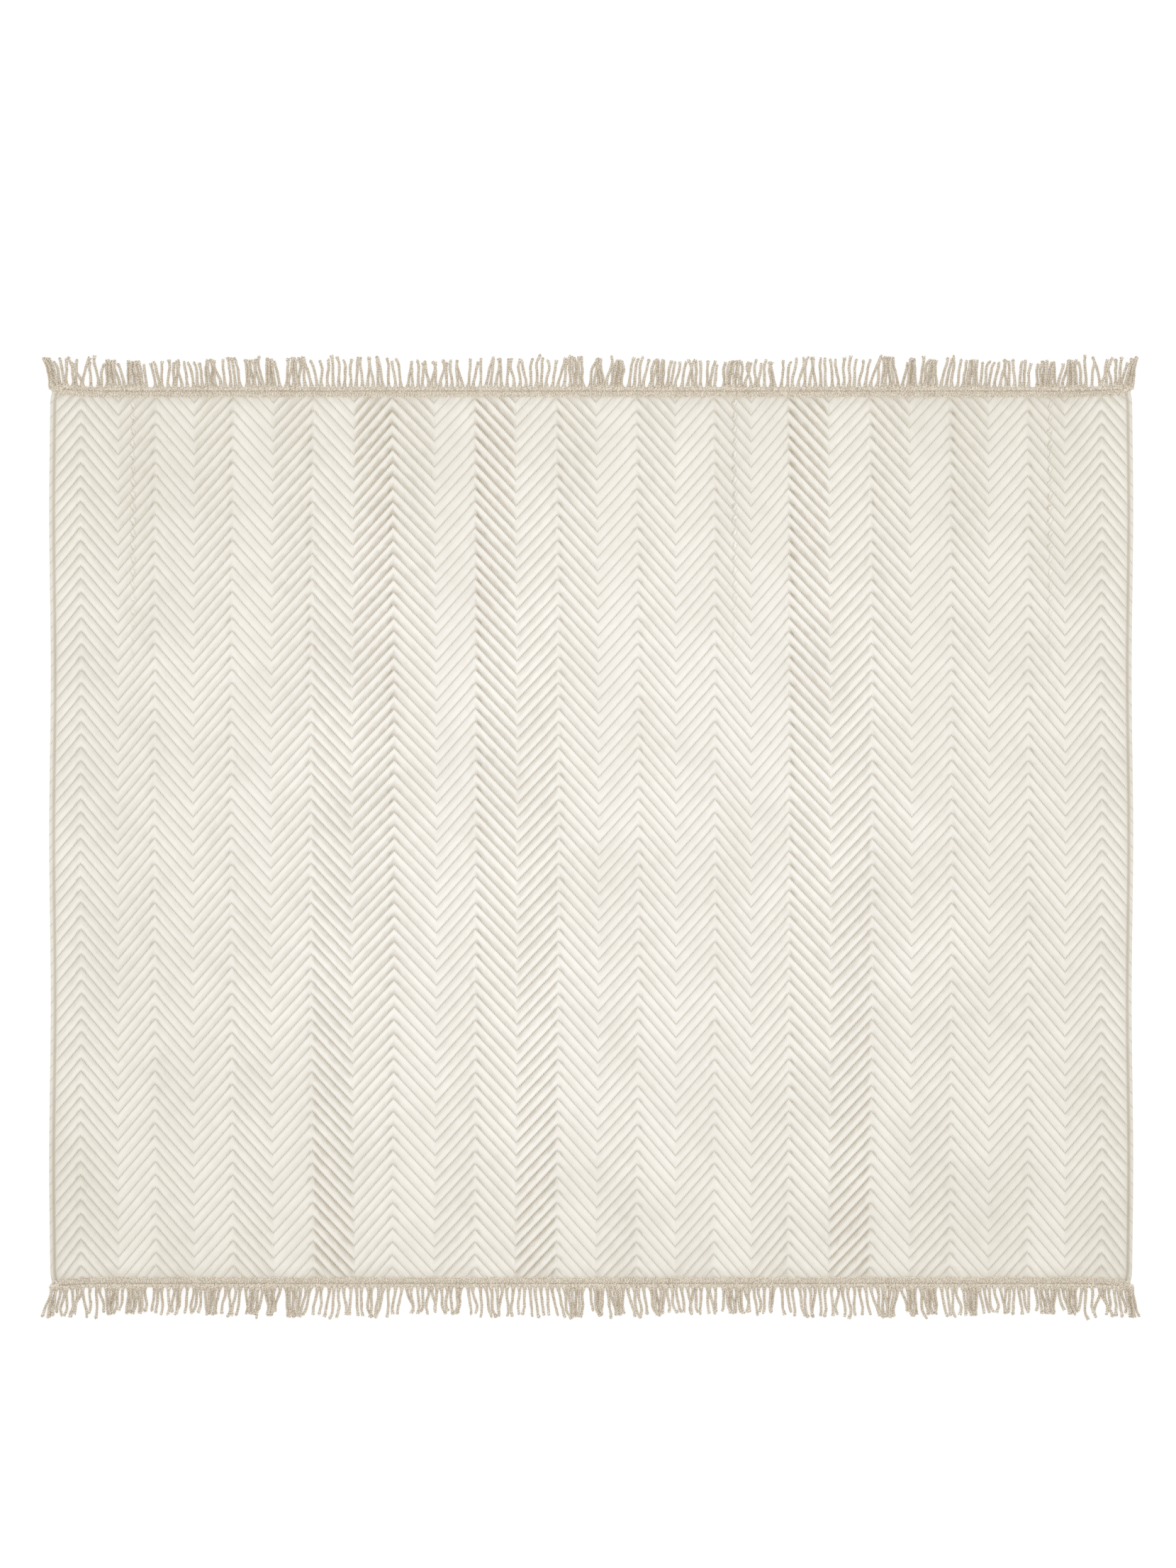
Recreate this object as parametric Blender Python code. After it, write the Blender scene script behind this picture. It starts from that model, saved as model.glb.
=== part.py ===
"""Quilted velvet throw with a corded fringe on its two long edges, lying flat and face up.

Metres, +Z up. X runs along the fringed edges and Y from one fringe to the other. The origin
is under the middle of the throw, and the underside of the cloth lies on z = 0.
"""

import math

import bmesh
import bpy
from mathutils import Matrix

MM = 0.001
COLLECTION_NAME = "velvet_throw"

# Cloth
CLOTH_WIDTH = 1.524
CLOTH_DEPTH = 1.259
RIM_THICKNESS = 0.0022
SIDE_EDGE_HEIGHT = 0.0030
FLANGE_HEIGHT = 0.0044
QUILT_INSET = 0.0092
QUILT_END = 0.6190

# Zigzag quilting
ROW_PITCH = 0.01821
ROW_RISE = 0.0610
ROW_START = 0.6179
ROWS_ABOVE_START = 4
ROWS_BELOW_START = 68
STITCH_HEIGHT = 0.0036
CHANNEL_HEIGHT = 0.0066
QUILT_SINK = 0.0010

# Where the rows turn: x at mid depth and its shift at the fringed ends, in millimetres.
# Rows point towards +Y at the first line and every second one after it.
TURN_LINES = (
    (-718.0, 0.0), (-666.0, 1.0), (-614.0, 2.0), (-560.0, 1.6), (-506.0, 3.0),
    (-450.5, 4.0), (-394.0, 3.7), (-336.5, 3.5), (-277.0, -3.5), (-217.5, -4.4),
    (-163.0, -1.0), (-104.0, -3.4), (-46.0, -3.8), (10.5, -4.3), (66.0, -3.0),
    (119.5, -1.7), (174.0, -1.9), (225.0, 0.0), (278.0, -1.1), (337.0, -3.5),
    (395.0, -3.7), (451.0, -4.2), (507.0, -3.1), (560.0, -1.6), (615.0, -1.9),
    (667.0, -1.0), (718.0, 0.0),
)

# Columns that stand fuller: centre x, far end y, near end y, extra height, in millimetres.
FULL_COLUMNS = (
    (-307.0, 614.0, -150.0, 1.2), (-133.0, 614.0, -150.0, 1.2), (307.0, 614.0, -150.0, 1.2),
    (-365.0, -220.0, -614.0, 1.0), (-75.0, -220.0, -614.0, 1.0), (366.0, -220.0, -614.0, 1.0),
)
FULL_COLUMN_REACH = 0.034
ALONG_FADE = 0.040

# Soft folds: far end x, y, near end x, y, and depth, in millimetres.
SOFT_FOLDS = (
    (-532.0, 614.0, -527.0, 390.0, 0.8), (-403.0, 614.0, -433.0, 280.0, 0.9),
    (-313.0, 480.0, -243.0, 260.0, 0.9), (-33.0, 614.0, -8.0, 280.0, 0.8),
    (86.0, 614.0, 86.0, 250.0, 0.8), (201.0, 619.0, 201.0, -380.0, 0.9),
    (401.0, 614.0, 426.0, 280.0, 0.9), (525.0, 614.0, 525.0, 390.0, 0.8),
    (-363.0, -440.0, -348.0, -600.0, 0.8), (-83.0, -440.0, -98.0, -600.0, 0.8),
    (357.0, -440.0, 342.0, -600.0, 0.8),
)
SOFT_FOLD_REACH = 0.026

# Corners, drawn outwards by the fringe, and the little waist where its heading starts
PULL_SOFT = 0.0045
PULL_SOFT_REACH = 0.080
PULL_SHARP = 0.0040
PULL_SHARP_REACH = 0.006
PULL_FADE_START = 0.540
PULL_FADE_END = 0.617
WAIST_DEPTH = 0.0022
WAIST_FROM_END = 0.011
WAIST_REACH_Y = 0.007
WAIST_REACH_X = 0.040
SIDE_WANDER = 0.0011
SIDE_WANDER_WAVE = 0.46

# Plan stations in millimetres: the distance in from a side edge, with the flange's crest at
# the second and its groove at the third, and the distance out from the middle along Y.
SIDE_STATIONS = (
    0.0, 3.8, 7.8, 17.0, 31.0, 53.0, 80.0, 160.0, 245.0, 330.0, 415.0, 500.0, 585.0, 670.0, 762.0)
END_STATIONS = (
    0.0, 60.0, 120.0, 180.0, 240.0, 300.0, 360.0, 420.0, 480.0, 540.0, 580.0, 609.0, 617.5,
    624.0, 629.5)
FLANGE_END_STATION = 609.0

# Fringe: a woven heading that lies over the cloth's edge, 0.4 mm clear of it, and its strands.
# The section's rows are the distance out from the heading's inner edge and the height, in
# millimetres. The seam is its dip, and its outer leg reaches the floor.
SEAM_Y = 0.6280
HEADING_INNER_Y = 0.6194
HEADING_SECTION = (
    (0.0, 2.6), (0.3, 4.5), (2.6, 5.4), (6.2, 5.4), (8.6, 4.3),
    (10.6, 5.0), (13.2, 5.0), (14.2, 4.5), (14.2, 0.0), (10.5, 0.0), (10.5, 2.6),
)
HEADING_OUTER_Y = 0.6336
STRAND_COUNT = 150
STRAND_SIDES = 3
STRAND_ROOT_INSET = 0.0040
STRAND_ROOT_DEPTH = 0.0018
STRAND_ROOT_WIDTH = 0.0050
STRAND_ROOT_LIFT = 0.0003
STRAND_ROOT_LIFT_SPREAD = 0.0005
STRAND_ROOT_LIFT_STEP = 0.618
STRAND_BEND_WIDTH = 0.0057
STRAND_TIP_WIDTH = 0.0044
STRAND_FLATNESS = 0.66
STRAND_BEND = 0.45
STRAND_BEND_LEAN = 0.30
STRAND_TIP_STEP = 0.0062

# How the strands lie: root x, lean of the tip along x, reach past the seam, in millimetres.
# The lay is mirrored at LAY_MIRROR_X, and again at the middle of the throw.
STRAND_LAY = (
    (-760.0, -10.0, 45.0), (-741.0, -7.0, 46.0), (-730.0, 0.5, 40.0), (-715.0, -3.0, 47.0),
    (-694.0, -3.5, 54.0), (-683.0, 3.0, 44.0), (-664.0, -7.5, 41.0), (-652.0, 0.0, 39.0),
    (-630.0, -5.0, 38.0), (-607.0, -7.0, 41.0), (-588.0, 0.0, 42.0), (-570.0, -7.0, 44.0),
    (-542.0, 0.0, 44.0), (-521.0, -9.0, 44.0), (-507.0, -3.0, 50.0), (-492.0, -8.0, 46.0),
    (-484.0, -1.0, 44.0), (-466.0, -8.0, 46.0), (-456.0, 1.0, 47.0), (-437.0, -7.0, 41.0),
    (-430.0, 6.0, 46.0), (-410.0, -2.5, 43.0), (-396.0, -8.5, 49.0), (-369.0, -4.0, 45.0),
    (-347.0, 1.5, 44.0), (-325.0, 4.0, 47.0), (-307.0, -4.0, 46.0), (-284.0, -3.0, 48.0),
    (-267.0, -5.0, 44.0), (-256.0, 5.0, 41.0), (-237.0, -1.0, 40.0), (-220.0, 3.0, 42.0),
)
LAY_MIRROR_X = -0.220

VELVET_COLOUR = (235, 230, 220)
VELVET_ROUGHNESS = 0.88
CORD_COLOUR = (209, 200, 184)
CORD_ROUGHNESS = 0.72


def smooth_step(value):
    value = min(1.0, max(0.0, value))
    return value * value * (3.0 - 2.0 * value)


def table_value(table, x, column):
    """Straight-line reading of one column of a table whose first column is x."""
    for left, right in zip(table, table[1:]):
        if x <= right[0]:
            part = max(0.0, (x - left[0]) / (right[0] - left[0]))
            return left[column] + part * (right[column] - left[column])
    return table[-1][column]


def laid(x, y):
    """Where a point of the straight-cut throw comes to lie."""
    from_side = CLOTH_WIDTH / 2 - abs(x)
    soft = max(0.0, 1.0 - from_side / PULL_SOFT_REACH)
    pull = PULL_SOFT * soft * soft + PULL_SHARP * math.exp(-from_side / PULL_SHARP_REACH)
    pull *= smooth_step((abs(y) - PULL_FADE_START) / (PULL_FADE_END - PULL_FADE_START))
    from_waist = (CLOTH_DEPTH / 2 - abs(y) - WAIST_FROM_END) / WAIST_REACH_Y
    waist = WAIST_DEPTH * math.exp(-from_waist * from_waist)
    waist *= max(0.0, 1.0 - from_side / WAIST_REACH_X)
    wander = SIDE_WANDER * math.cos(2 * math.pi * y / SIDE_WANDER_WAVE)
    wander *= (2 * abs(x) / CLOTH_WIDTH) ** 8
    return x + math.copysign(1.0, x) * (wander - waist), y + math.copysign(pull, y)


def turn_line_x(line, y):
    """x of one line of turns at y. Line 0 and the last one are the quilting's side edges."""
    if line == 0:
        return -(CLOTH_WIDTH / 2 - QUILT_INSET)
    if line > len(TURN_LINES):
        return CLOTH_WIDTH / 2 - QUILT_INSET
    middle, end_shift = TURN_LINES[line - 1]
    return (middle + end_shift * (2 * y / CLOTH_DEPTH) ** 2) * MM


def turn_line_drop(line):
    """How far a row lies below its peaks where it crosses a line of turns."""
    if line == 0 or line > len(TURN_LINES):
        outer = CLOTH_WIDTH / 2 - QUILT_INSET + TURN_LINES[0][0] * MM
        step = (TURN_LINES[1][0] - TURN_LINES[0][0]) * MM
        return ROW_RISE * outer / step
    return 0.0 if line % 2 == 1 else ROW_RISE


def extra_fullness(x, y):
    total = 0.0
    for centre, far_y, near_y, extra in FULL_COLUMNS:
        beside = smooth_step(1.0 - abs(x - centre * MM) / FULL_COLUMN_REACH)
        beyond = max(y - far_y * MM, near_y * MM - y, 0.0)
        total += extra * MM * beside * smooth_step(1.0 - beyond / ALONG_FADE)
    return total


def fold_depth(x, y):
    total = 0.0
    for far_x, far_y, near_x, near_y, depth in SOFT_FOLDS:
        part = min(1.0, max(0.0, (far_y * MM - y) / ((far_y - near_y) * MM)))
        centre = (far_x + part * (near_x - far_x)) * MM
        beyond = max(y - far_y * MM, near_y * MM - y, 0.0)
        beside = smooth_step(1.0 - abs(x - centre) / SOFT_FOLD_REACH)
        total += depth * MM * beside * smooth_step(1.0 - beyond / ALONG_FADE)
    return total


def material(name, colour, roughness):
    """A Principled material from an 8-bit colour."""
    linear = [((c / 255 + 0.055) / 1.055) ** 2.4 for c in colour]
    result = bpy.data.materials.new(name)
    result.use_nodes = True
    shader = result.node_tree.nodes["Principled BSDF"]
    shader.inputs["Base Color"].default_value = (*linear, 1.0)
    shader.inputs["Roughness"].default_value = roughness
    shader.inputs["Metallic"].default_value = 0.0
    return result


def object_from(bm, name, collection):
    mesh = bpy.data.meshes.new(name)
    bm.to_mesh(mesh)
    bm.free()
    result = bpy.data.objects.new(name, mesh)
    collection.objects.link(result)
    return result


def joined(base, addition):
    """Boolean union of two objects, kept as the base's mesh."""
    union = base.modifiers.new("union", "BOOLEAN")
    union.operation = "UNION"
    union.solver = "EXACT"
    union.object = addition
    graph = bpy.context.evaluated_depsgraph_get()
    mesh = bpy.data.meshes.new_from_object(base.evaluated_get(graph))
    base.modifiers.remove(union)
    base.data = mesh
    mesh.name = base.name
    return base


def as_guide(thing):
    thing.hide_render = True
    thing.display_type = "WIRE"


def mirrored_stations(table):
    """Stations on both sides of the middle, in metres, from the lowest up."""
    return [-v * MM for v in reversed(table) if v] + [v * MM for v in table]


def cloth_plate(collection):
    """The thin plate of the whole cloth, with its raised flange and groove at both sides."""
    half_width = CLOTH_WIDTH / 2
    columns = [-half_width + inset * MM for inset in SIDE_STATIONS]
    columns += [-x for x in reversed(columns[:-1])]
    rows = mirrored_stations(END_STATIONS)
    bm = bmesh.new()
    bmesh.ops.create_grid(bm, x_segments=len(columns) - 1, y_segments=len(rows) - 1, size=0.5)
    for vert in bm.verts:
        column = round((vert.co.x + 0.5) * (len(columns) - 1))
        row = round((vert.co.y + 0.5) * (len(rows) - 1))
        x, y = columns[column], rows[row]
        height = RIM_THICKNESS
        from_edge = min(column, len(columns) - 1 - column)
        if abs(y) <= FLANGE_END_STATION * MM:
            height = (SIDE_EDGE_HEIGHT, FLANGE_HEIGHT, RIM_THICKNESS)[min(from_edge, 2)]
        vert.co = (*laid(x, y), height)
    lower = bmesh.ops.extrude_face_region(bm, geom=bm.faces[:])["geom"]
    for item in lower:
        if isinstance(item, bmesh.types.BMVert):
            item.co.z = 0.0
    underside = [f for f in bm.faces if all(v.co.z == 0.0 for v in f.verts)]
    bmesh.ops.dissolve_faces(bm, faces=underside, use_verts=True)
    bmesh.ops.recalc_face_normals(bm, faces=bm.faces)
    return object_from(bm, "quilted_cloth", collection)


def quilted_field(collection):
    """The padded zigzag channels, a closed solid that sinks a little into the plate."""
    lines = len(TURN_LINES) + 1
    steps = 2 * (ROWS_ABOVE_START + ROWS_BELOW_START)
    bm = bmesh.new()
    bmesh.ops.create_grid(bm, x_segments=lines, y_segments=steps, size=0.5)
    for vert in bm.verts:
        line = round((vert.co.x + 0.5) * lines)
        step = round((vert.co.y + 0.5) * steps)
        row_y = ROW_START + ROWS_ABOVE_START * ROW_PITCH - (steps - step) * ROW_PITCH / 2
        y = row_y - turn_line_drop(line)
        x = turn_line_x(line, y)
        height = STITCH_HEIGHT
        if step % 2 == 1:
            height = CHANNEL_HEIGHT + extra_fullness(x, y)
        vert.co = (x, y, height - fold_depth(x, y))
    for side in (-1.0, 1.0):
        bmesh.ops.bisect_plane(
            bm, geom=bm.verts[:] + bm.edges[:] + bm.faces[:], dist=1e-7,
            plane_co=(0.0, side * QUILT_END, 0.0), plane_no=(0.0, side, 0.0), clear_outer=True)
    bmesh.ops.remove_doubles(bm, verts=bm.verts, dist=0.0001)
    for vert in bm.verts:
        vert.co.x, vert.co.y = laid(vert.co.x, vert.co.y)
    bmesh.ops.triangulate(bm, faces=bm.faces)
    rim = [edge for edge in bm.edges if edge.is_boundary]
    walls = bmesh.ops.extrude_edge_only(bm, edges=rim)["geom"]
    for item in walls:
        if isinstance(item, bmesh.types.BMVert):
            item.co.z = RIM_THICKNESS - QUILT_SINK
    open_edges = [edge for edge in bm.edges if edge.is_boundary]
    bmesh.ops.holes_fill(bm, edges=open_edges, sides=0)
    bmesh.ops.recalc_face_normals(bm, faces=bm.faces)
    return object_from(bm, "quilted_field", collection)


def build_cloth(parts, guides):
    cloth = cloth_plate(parts)
    field = quilted_field(guides)
    as_guide(field)
    joined(cloth, field)
    cloth.data.materials.clear()
    cloth.data.materials.append(material("velvet", VELVET_COLOUR, VELVET_ROUGHNESS))
    return cloth


def strand_lay(x):
    """Lean and reach of a strand, with the lay mirrored along the edge as it repeats."""
    side = 1.0
    if x > -LAY_MIRROR_X:
        x, side = -x, -side
    elif x > LAY_MIRROR_X:
        x, side = 2 * LAY_MIRROR_X - x, -side
    lean = table_value(STRAND_LAY, x / MM, 1) * MM
    return side * lean, table_value(STRAND_LAY, x / MM, 2) * MM


def strand_places():
    """Root x, tip x and reach of every strand, with the tips kept apart."""
    first = -CLOTH_WIDTH / 2 + STRAND_ROOT_INSET
    pitch = -2 * first / (STRAND_COUNT - 1)
    left = []
    tip_before = -CLOTH_WIDTH
    for index in range(STRAND_COUNT // 2):
        root = first + pitch * index
        lean, reach = strand_lay(root)
        tip_before = max(root + lean, tip_before + STRAND_TIP_STEP)
        left.append((root, tip_before, reach))
    right = []
    tip_after = STRAND_TIP_STEP / 2
    for root, tip, reach in reversed(left):
        tip_after = max(-tip, tip_after)
        right.append((-root, tip_after, reach))
        tip_after += STRAND_TIP_STEP
    return [(-root, -tip, reach) for root, tip, reach in reversed(right)] + right


def fringe_heading(name, collection):
    """The woven heading: an L-section lofted along the cloth's end."""
    half_width = CLOTH_WIDTH / 2
    columns = [-half_width + inset * MM for inset in SIDE_STATIONS]
    columns += [-x for x in reversed(columns[:-1])]
    section = [(HEADING_INNER_Y + y * MM, z * MM) for y, z in HEADING_SECTION]
    bm = bmesh.new()
    ring = bmesh.ops.create_circle(bm, cap_ends=True, segments=len(section), radius=1.0)["verts"]
    for vert, (y, z) in zip(ring, section):
        vert.co = (columns[0], y, z)
    end = bm.verts[:] + bm.edges[:] + bm.faces[:]
    for x in columns[1:]:
        end = bmesh.ops.extrude_face_region(bm, geom=end)["geom"]
        for item in end:
            if isinstance(item, bmesh.types.BMVert):
                item.co.x = x
    for vert in bm.verts:
        vert.co.x, vert.co.y = laid(vert.co.x, vert.co.y)
    bmesh.ops.recalc_face_normals(bm, faces=bm.faces)
    return object_from(bm, name, collection)


def add_strand(bm, root_x, tip_x, reach, root_lift):
    """One tapered cord lying on the floor, bent once, its root inside the heading."""
    cone = bmesh.ops.create_cone(
        bm, cap_ends=True, segments=STRAND_SIDES, radius1=0.5, radius2=0.5, depth=1.0,
        matrix=Matrix.Rotation(-math.pi / 2, 4, "X"))
    verts = cone["verts"]
    edges = list({edge for vert in verts for edge in vert.link_edges})
    faces = list({face for vert in verts for face in vert.link_faces})
    bend_y = STRAND_BEND - 0.5
    cut = bmesh.ops.bisect_plane(
        bm, geom=verts + edges + faces, dist=1e-7,
        plane_co=(0.0, bend_y, 0.0), plane_no=(0.0, 1.0, 0.0))["geom_cut"]
    verts = verts + [item for item in cut if isinstance(item, bmesh.types.BMVert)]
    top = max(vert.co.z for vert in verts)
    bottom = min(vert.co.z for vert in verts)
    widest = max(abs(vert.co.x) for vert in verts)
    straight_y = HEADING_OUTER_Y - STRAND_ROOT_DEPTH
    root_y = laid(root_x, straight_y)[1]
    tip_y = SEAM_Y + reach + (root_y - straight_y) / 2
    for vert in verts:
        part = vert.co.y + 0.5
        lean, width, lift = part, STRAND_TIP_WIDTH, 0.0
        if part < STRAND_BEND / 2:
            width, lift = STRAND_ROOT_WIDTH, root_lift
        elif part < (1.0 + STRAND_BEND) / 2:
            lean, width = STRAND_BEND_LEAN, STRAND_BEND_WIDTH
        across = vert.co.x / widest * width / 2
        up = (vert.co.z - bottom) / (top - bottom) * width * STRAND_FLATNESS
        vert.co = (root_x + lean * (tip_x - root_x) + across,
                   root_y + part * (tip_y - root_y), lift + up)


def build_fringe(name, side, cord_material, parts, guides):
    """One fringe: side is +1 at the far end of the cloth and -1 at the near end."""
    heading = fringe_heading(name, parts)
    bm = bmesh.new()
    for index, (root_x, tip_x, reach) in enumerate(strand_places()):
        uneven = index * STRAND_ROOT_LIFT_STEP % 1.0
        add_strand(bm, root_x, tip_x, reach, STRAND_ROOT_LIFT + uneven * STRAND_ROOT_LIFT_SPREAD)
    bmesh.ops.recalc_face_normals(bm, faces=bm.faces)
    strands = object_from(bm, name + "_strands", guides)
    as_guide(strands)
    fringe = joined(heading, strands)
    bm = bmesh.new()
    bm.from_mesh(fringe.data)
    bmesh.ops.triangulate(bm, faces=bm.faces, quad_method="BEAUTY", ngon_method="BEAUTY")
    bmesh.ops.scale(bm, vec=(1.0, side, 1.0), verts=bm.verts)
    bmesh.ops.recalc_face_normals(bm, faces=bm.faces)
    bm.to_mesh(fringe.data)
    bm.free()
    fringe.data.materials.clear()
    fringe.data.materials.append(cord_material)
    return fringe


def main():
    for thing in list(bpy.data.objects):
        bpy.data.objects.remove(thing, do_unlink=True)
    parts = bpy.data.collections.new(COLLECTION_NAME)
    guides = bpy.data.collections.new(COLLECTION_NAME + "_guides")
    for collection in (parts, guides):
        bpy.context.scene.collection.children.link(collection)
    build_cloth(parts, guides)
    cord_material = material("cord", CORD_COLOUR, CORD_ROUGHNESS)
    build_fringe("fringe_far", 1.0, cord_material, parts, guides)
    build_fringe("fringe_near", -1.0, cord_material, parts, guides)


main()
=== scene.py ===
"""Looks of a quilted velvet throw with a corded fringe on its two long edges, lying flat.

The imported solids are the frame. Each operator makes one piece or one group of like pieces
around them, in metres: X along the fringes, Y towards the far one, Z up from the surface.
"""

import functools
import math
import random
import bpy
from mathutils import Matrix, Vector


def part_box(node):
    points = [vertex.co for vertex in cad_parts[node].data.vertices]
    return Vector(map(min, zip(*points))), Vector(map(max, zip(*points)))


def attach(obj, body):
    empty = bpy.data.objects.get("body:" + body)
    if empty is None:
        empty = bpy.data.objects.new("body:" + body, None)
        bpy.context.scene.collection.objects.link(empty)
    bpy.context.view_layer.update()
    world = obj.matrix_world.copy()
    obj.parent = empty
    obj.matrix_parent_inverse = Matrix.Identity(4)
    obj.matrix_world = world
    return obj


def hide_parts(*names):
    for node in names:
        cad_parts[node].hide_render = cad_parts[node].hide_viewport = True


bl_info = {
    "name": "Quilted velvet throw",
    "version": (1, 0, 0),
    "blender": (4, 5, 0),
    "location": "3D View > Sidebar > Throw",
    "description": "Makes the velvet, the stitching and the fringe of a quilted throw",
    "category": "Object",
}

import bmesh
import bpy

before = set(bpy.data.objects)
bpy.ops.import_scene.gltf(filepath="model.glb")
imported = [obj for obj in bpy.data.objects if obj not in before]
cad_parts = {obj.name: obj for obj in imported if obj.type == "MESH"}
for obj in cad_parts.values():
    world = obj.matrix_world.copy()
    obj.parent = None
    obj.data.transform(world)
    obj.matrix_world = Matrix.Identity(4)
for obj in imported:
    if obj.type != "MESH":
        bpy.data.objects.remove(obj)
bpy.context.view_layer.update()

MM = 0.001

# Corners, drawn outwards by the fringe, and the little waist where its heading starts
PULL_SOFT = 0.0045
PULL_SOFT_REACH = 0.080
PULL_SHARP = 0.0040
PULL_SHARP_REACH = 0.006
PULL_FADE_START = 0.540
PULL_FADE_END = 0.617
WAIST_DEPTH = 0.0022
WAIST_FROM_END = 0.011
WAIST_REACH_Y = 0.007
WAIST_REACH_X = 0.040
SIDE_WANDER = 0.0011
SIDE_WANDER_WAVE = 0.46
SIDE_WANDER_POWER = 8

# The straight-cut cloth, worked back from the solid that has its side wander and its pulled corners
CLOTH_LOW, CLOTH_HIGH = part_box("quilted_cloth")
HALF_WIDTH = (CLOTH_HIGH.x - CLOTH_LOW.x) / 2 - SIDE_WANDER
HALF_DEPTH = (CLOTH_HIGH.y - CLOTH_LOW.y) / 2 - PULL_SOFT - PULL_SHARP
RIM_THICKNESS = 0.0022

# Zigzag quilting
ROW_PITCH = 0.01821
ROW_RISE = 0.0610
ROW_START = 0.6179
ROWS_ABOVE_START = 4
ROW_COUNT = 72
ROW_TOP = ROW_START + ROWS_ABOVE_START * ROW_PITCH
ROW_SAG = 0.0036
ROW_SAG_START = -0.10
ROW_SAG_LENGTH = 0.50
ROW_SAG_HALF_WIDTH = 0.60
ROW_SAG_SIDE_FADE = 0.25
STITCH_LENGTH = 0.00308

# Waves in which a row wanders: share, length, drift from row to row, and start
ROW_WANDER = 0.00045
ROW_WAVES = ((1.0, 0.33, 0.31, 0.0), (0.7, 0.19, -0.17, 1.0))

# Where the rows turn: x at mid depth and its shift at the fringed ends, in millimetres.
# Rows point towards +Y at the first line and every second one after it.
TURN_LINES = (
    (-718, 0), (-666, 1), (-614, 2), (-560, 1.6), (-506, 3),
    (-450.5, 4), (-394, 3.7), (-336.5, 3.5), (-277, -3.5), (-217.5, -4.4),
    (-163, -1), (-104, -3.4), (-46, -3.8), (10.5, -4.3), (66, -3),
    (119.5, -1.7), (174, -1.9), (225, 0), (278, -1.1), (337, -3.5),
    (395, -3.7), (451, -4.2), (507, -3.1), (560, -1.6), (615, -1.9),
    (667, -1), (718, 0),
)
HALF_COLUMNS = len(TURN_LINES) + 1
INNER_WIDTH = (TURN_LINES[1][0] - TURN_LINES[0][0]) * MM
OUTER_WIDTH = HALF_WIDTH + TURN_LINES[0][0] * MM

# How full the channels of a half column stand, from 0, nearly flat, to 1, at four places
# along Y; this also sets how strong their painted flank shade is. The throw's half columns are of
# eight kinds, in the order that follows. The painted flank shade falls towards the row below in
# the odd kinds and towards the row above in the even ones.
FULLNESS_PLACES = (0.610, 0.200, -0.200, -0.610)
COLUMN_KINDS = (
    (0.30, 0.25, 0.28, 0.30), (0.32, 0.30, 0.28, 0.12), (0.14, 0.20, 0.24, 0.25),
    (0.45, 0.32, 0.30, 0.15), (0.08, 0.14, 0.30, 0.38), (0.55, 0.38, 0.32, 0.10),
    (0.18, 0.45, 0.54, 0.76), (0.88, 0.66, 0.50, 0.24),
)
COLUMN_ORDER = (0, 0, 1, 2, 3, 4, 5, 6, 7, 5, 4, 7, 6, 5, 4, 3, 2, 1, 4, 7, 6, 5, 4, 3, 2, 1, 0, 0)

# The turned-in side hem: distance in from the edge and height, in millimetres
HEM_SECTION = (
    (0.0, 0.4), (0.6, 2.4), (1.6, 3.8), (2.8, 4.4), (4.0, 4.1), (5.2, 3.0), (6.2, 1.8), (7.0, 1.6),
    (8.2, 2.4), (9.8, 2.8),
)
# Painted shade in the hem's groove: how far in from the edge it lies, and how far it reaches out and in
HEM_GROOVE_INSET = 0.0069
HEM_GROOVE_REACH_OUT = 0.0031
HEM_GROOVE_REACH_IN = 0.0016

# Painted shade in a strip by each heading, and where quilting and hem fade out towards the edges
BY_HEADING_SHADE = 0.30
BY_HEADING_START = 0.606
BY_HEADING_LENGTH = 0.013
QUILT_EDGE_INSET = 0.0080
QUILT_EDGE_FADE = 0.0060
QUILT_END = 0.6195
QUILT_END_FADE = 0.0060
HEM_END = 0.6250
HEM_END_FADE = 0.0060

# Plan stations: the share of a half column, in the outer ones the millimetres in from the
# side, and the share of a channel
COLUMN_PARTS = (0.0, 0.06, 0.28, 0.5, 0.72, 0.94)
EDGE_INSETS = [inset for inset, _ in HEM_SECTION] + [12.5, 18.0, 30.0]
CHANNEL_PARTS = (0.0, 0.10, 0.26, 0.42, 0.58, 0.74, 0.90)

# Soft folds: far end x, y, near end x, y, and depth, in millimetres
SOFT_FOLDS = (
    (-532, 614, -527, 390, 0.8), (-403, 614, -433, 280, 0.9),
    (-313, 480, -243, 260, 0.9), (-33, 614, -8, 280, 0.8),
    (86, 614, 86, 250, 0.8), (201, 619, 201, -380, 0.9),
    (401, 614, 426, 280, 0.9), (525, 614, 525, 390, 0.8),
    (-363, -440, -348, -600, 0.8), (-83, -440, -98, -600, 0.8),
    (357, -440, 342, -600, 0.8),
)
SOFT_FOLD_REACH = 0.026
ALONG_FADE = 0.040

# Narrow puckers that cross the channels: half column, x, far y, near y, in millimetres
PUCKERS = ((2, -645, 606, 250), (17, 201.5, 606, 250), (25, 645, 606, 250))
PUCKER_DEPTH = 0.0008
PUCKER_REACH = 0.0012
PUCKER_FADE = 0.240
PUCKER_PULSE = 0.0182
PUCKER_SLANT = 0.0060
PUCKER_STRAY = 0.003

# In reaches from a pucker's middle: where the plan has stations across it, how near no other
# station comes, and where the pucker ends
PUCKER_STATIONS = (-2, -1, 0, 1, 2)
STATION_GAP = 0.9
PUCKER_LIMIT = 4.0

# Painted shade across a channel, from the row at its lit flank to the row at its shaded flank
PAINTED_FLANK_SHADE = (
    (0.0, 0.66), (0.03, 0.36), (0.07, 0.13), (0.12, 0.02), (0.20, 0.0), (0.36, 0.0), (0.45, 0.11),
    (0.55, 0.30), (0.65, 0.52), (0.75, 0.74), (0.84, 0.92), (0.91, 1.0), (0.96, 0.98), (1.0, 0.66),
)
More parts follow.
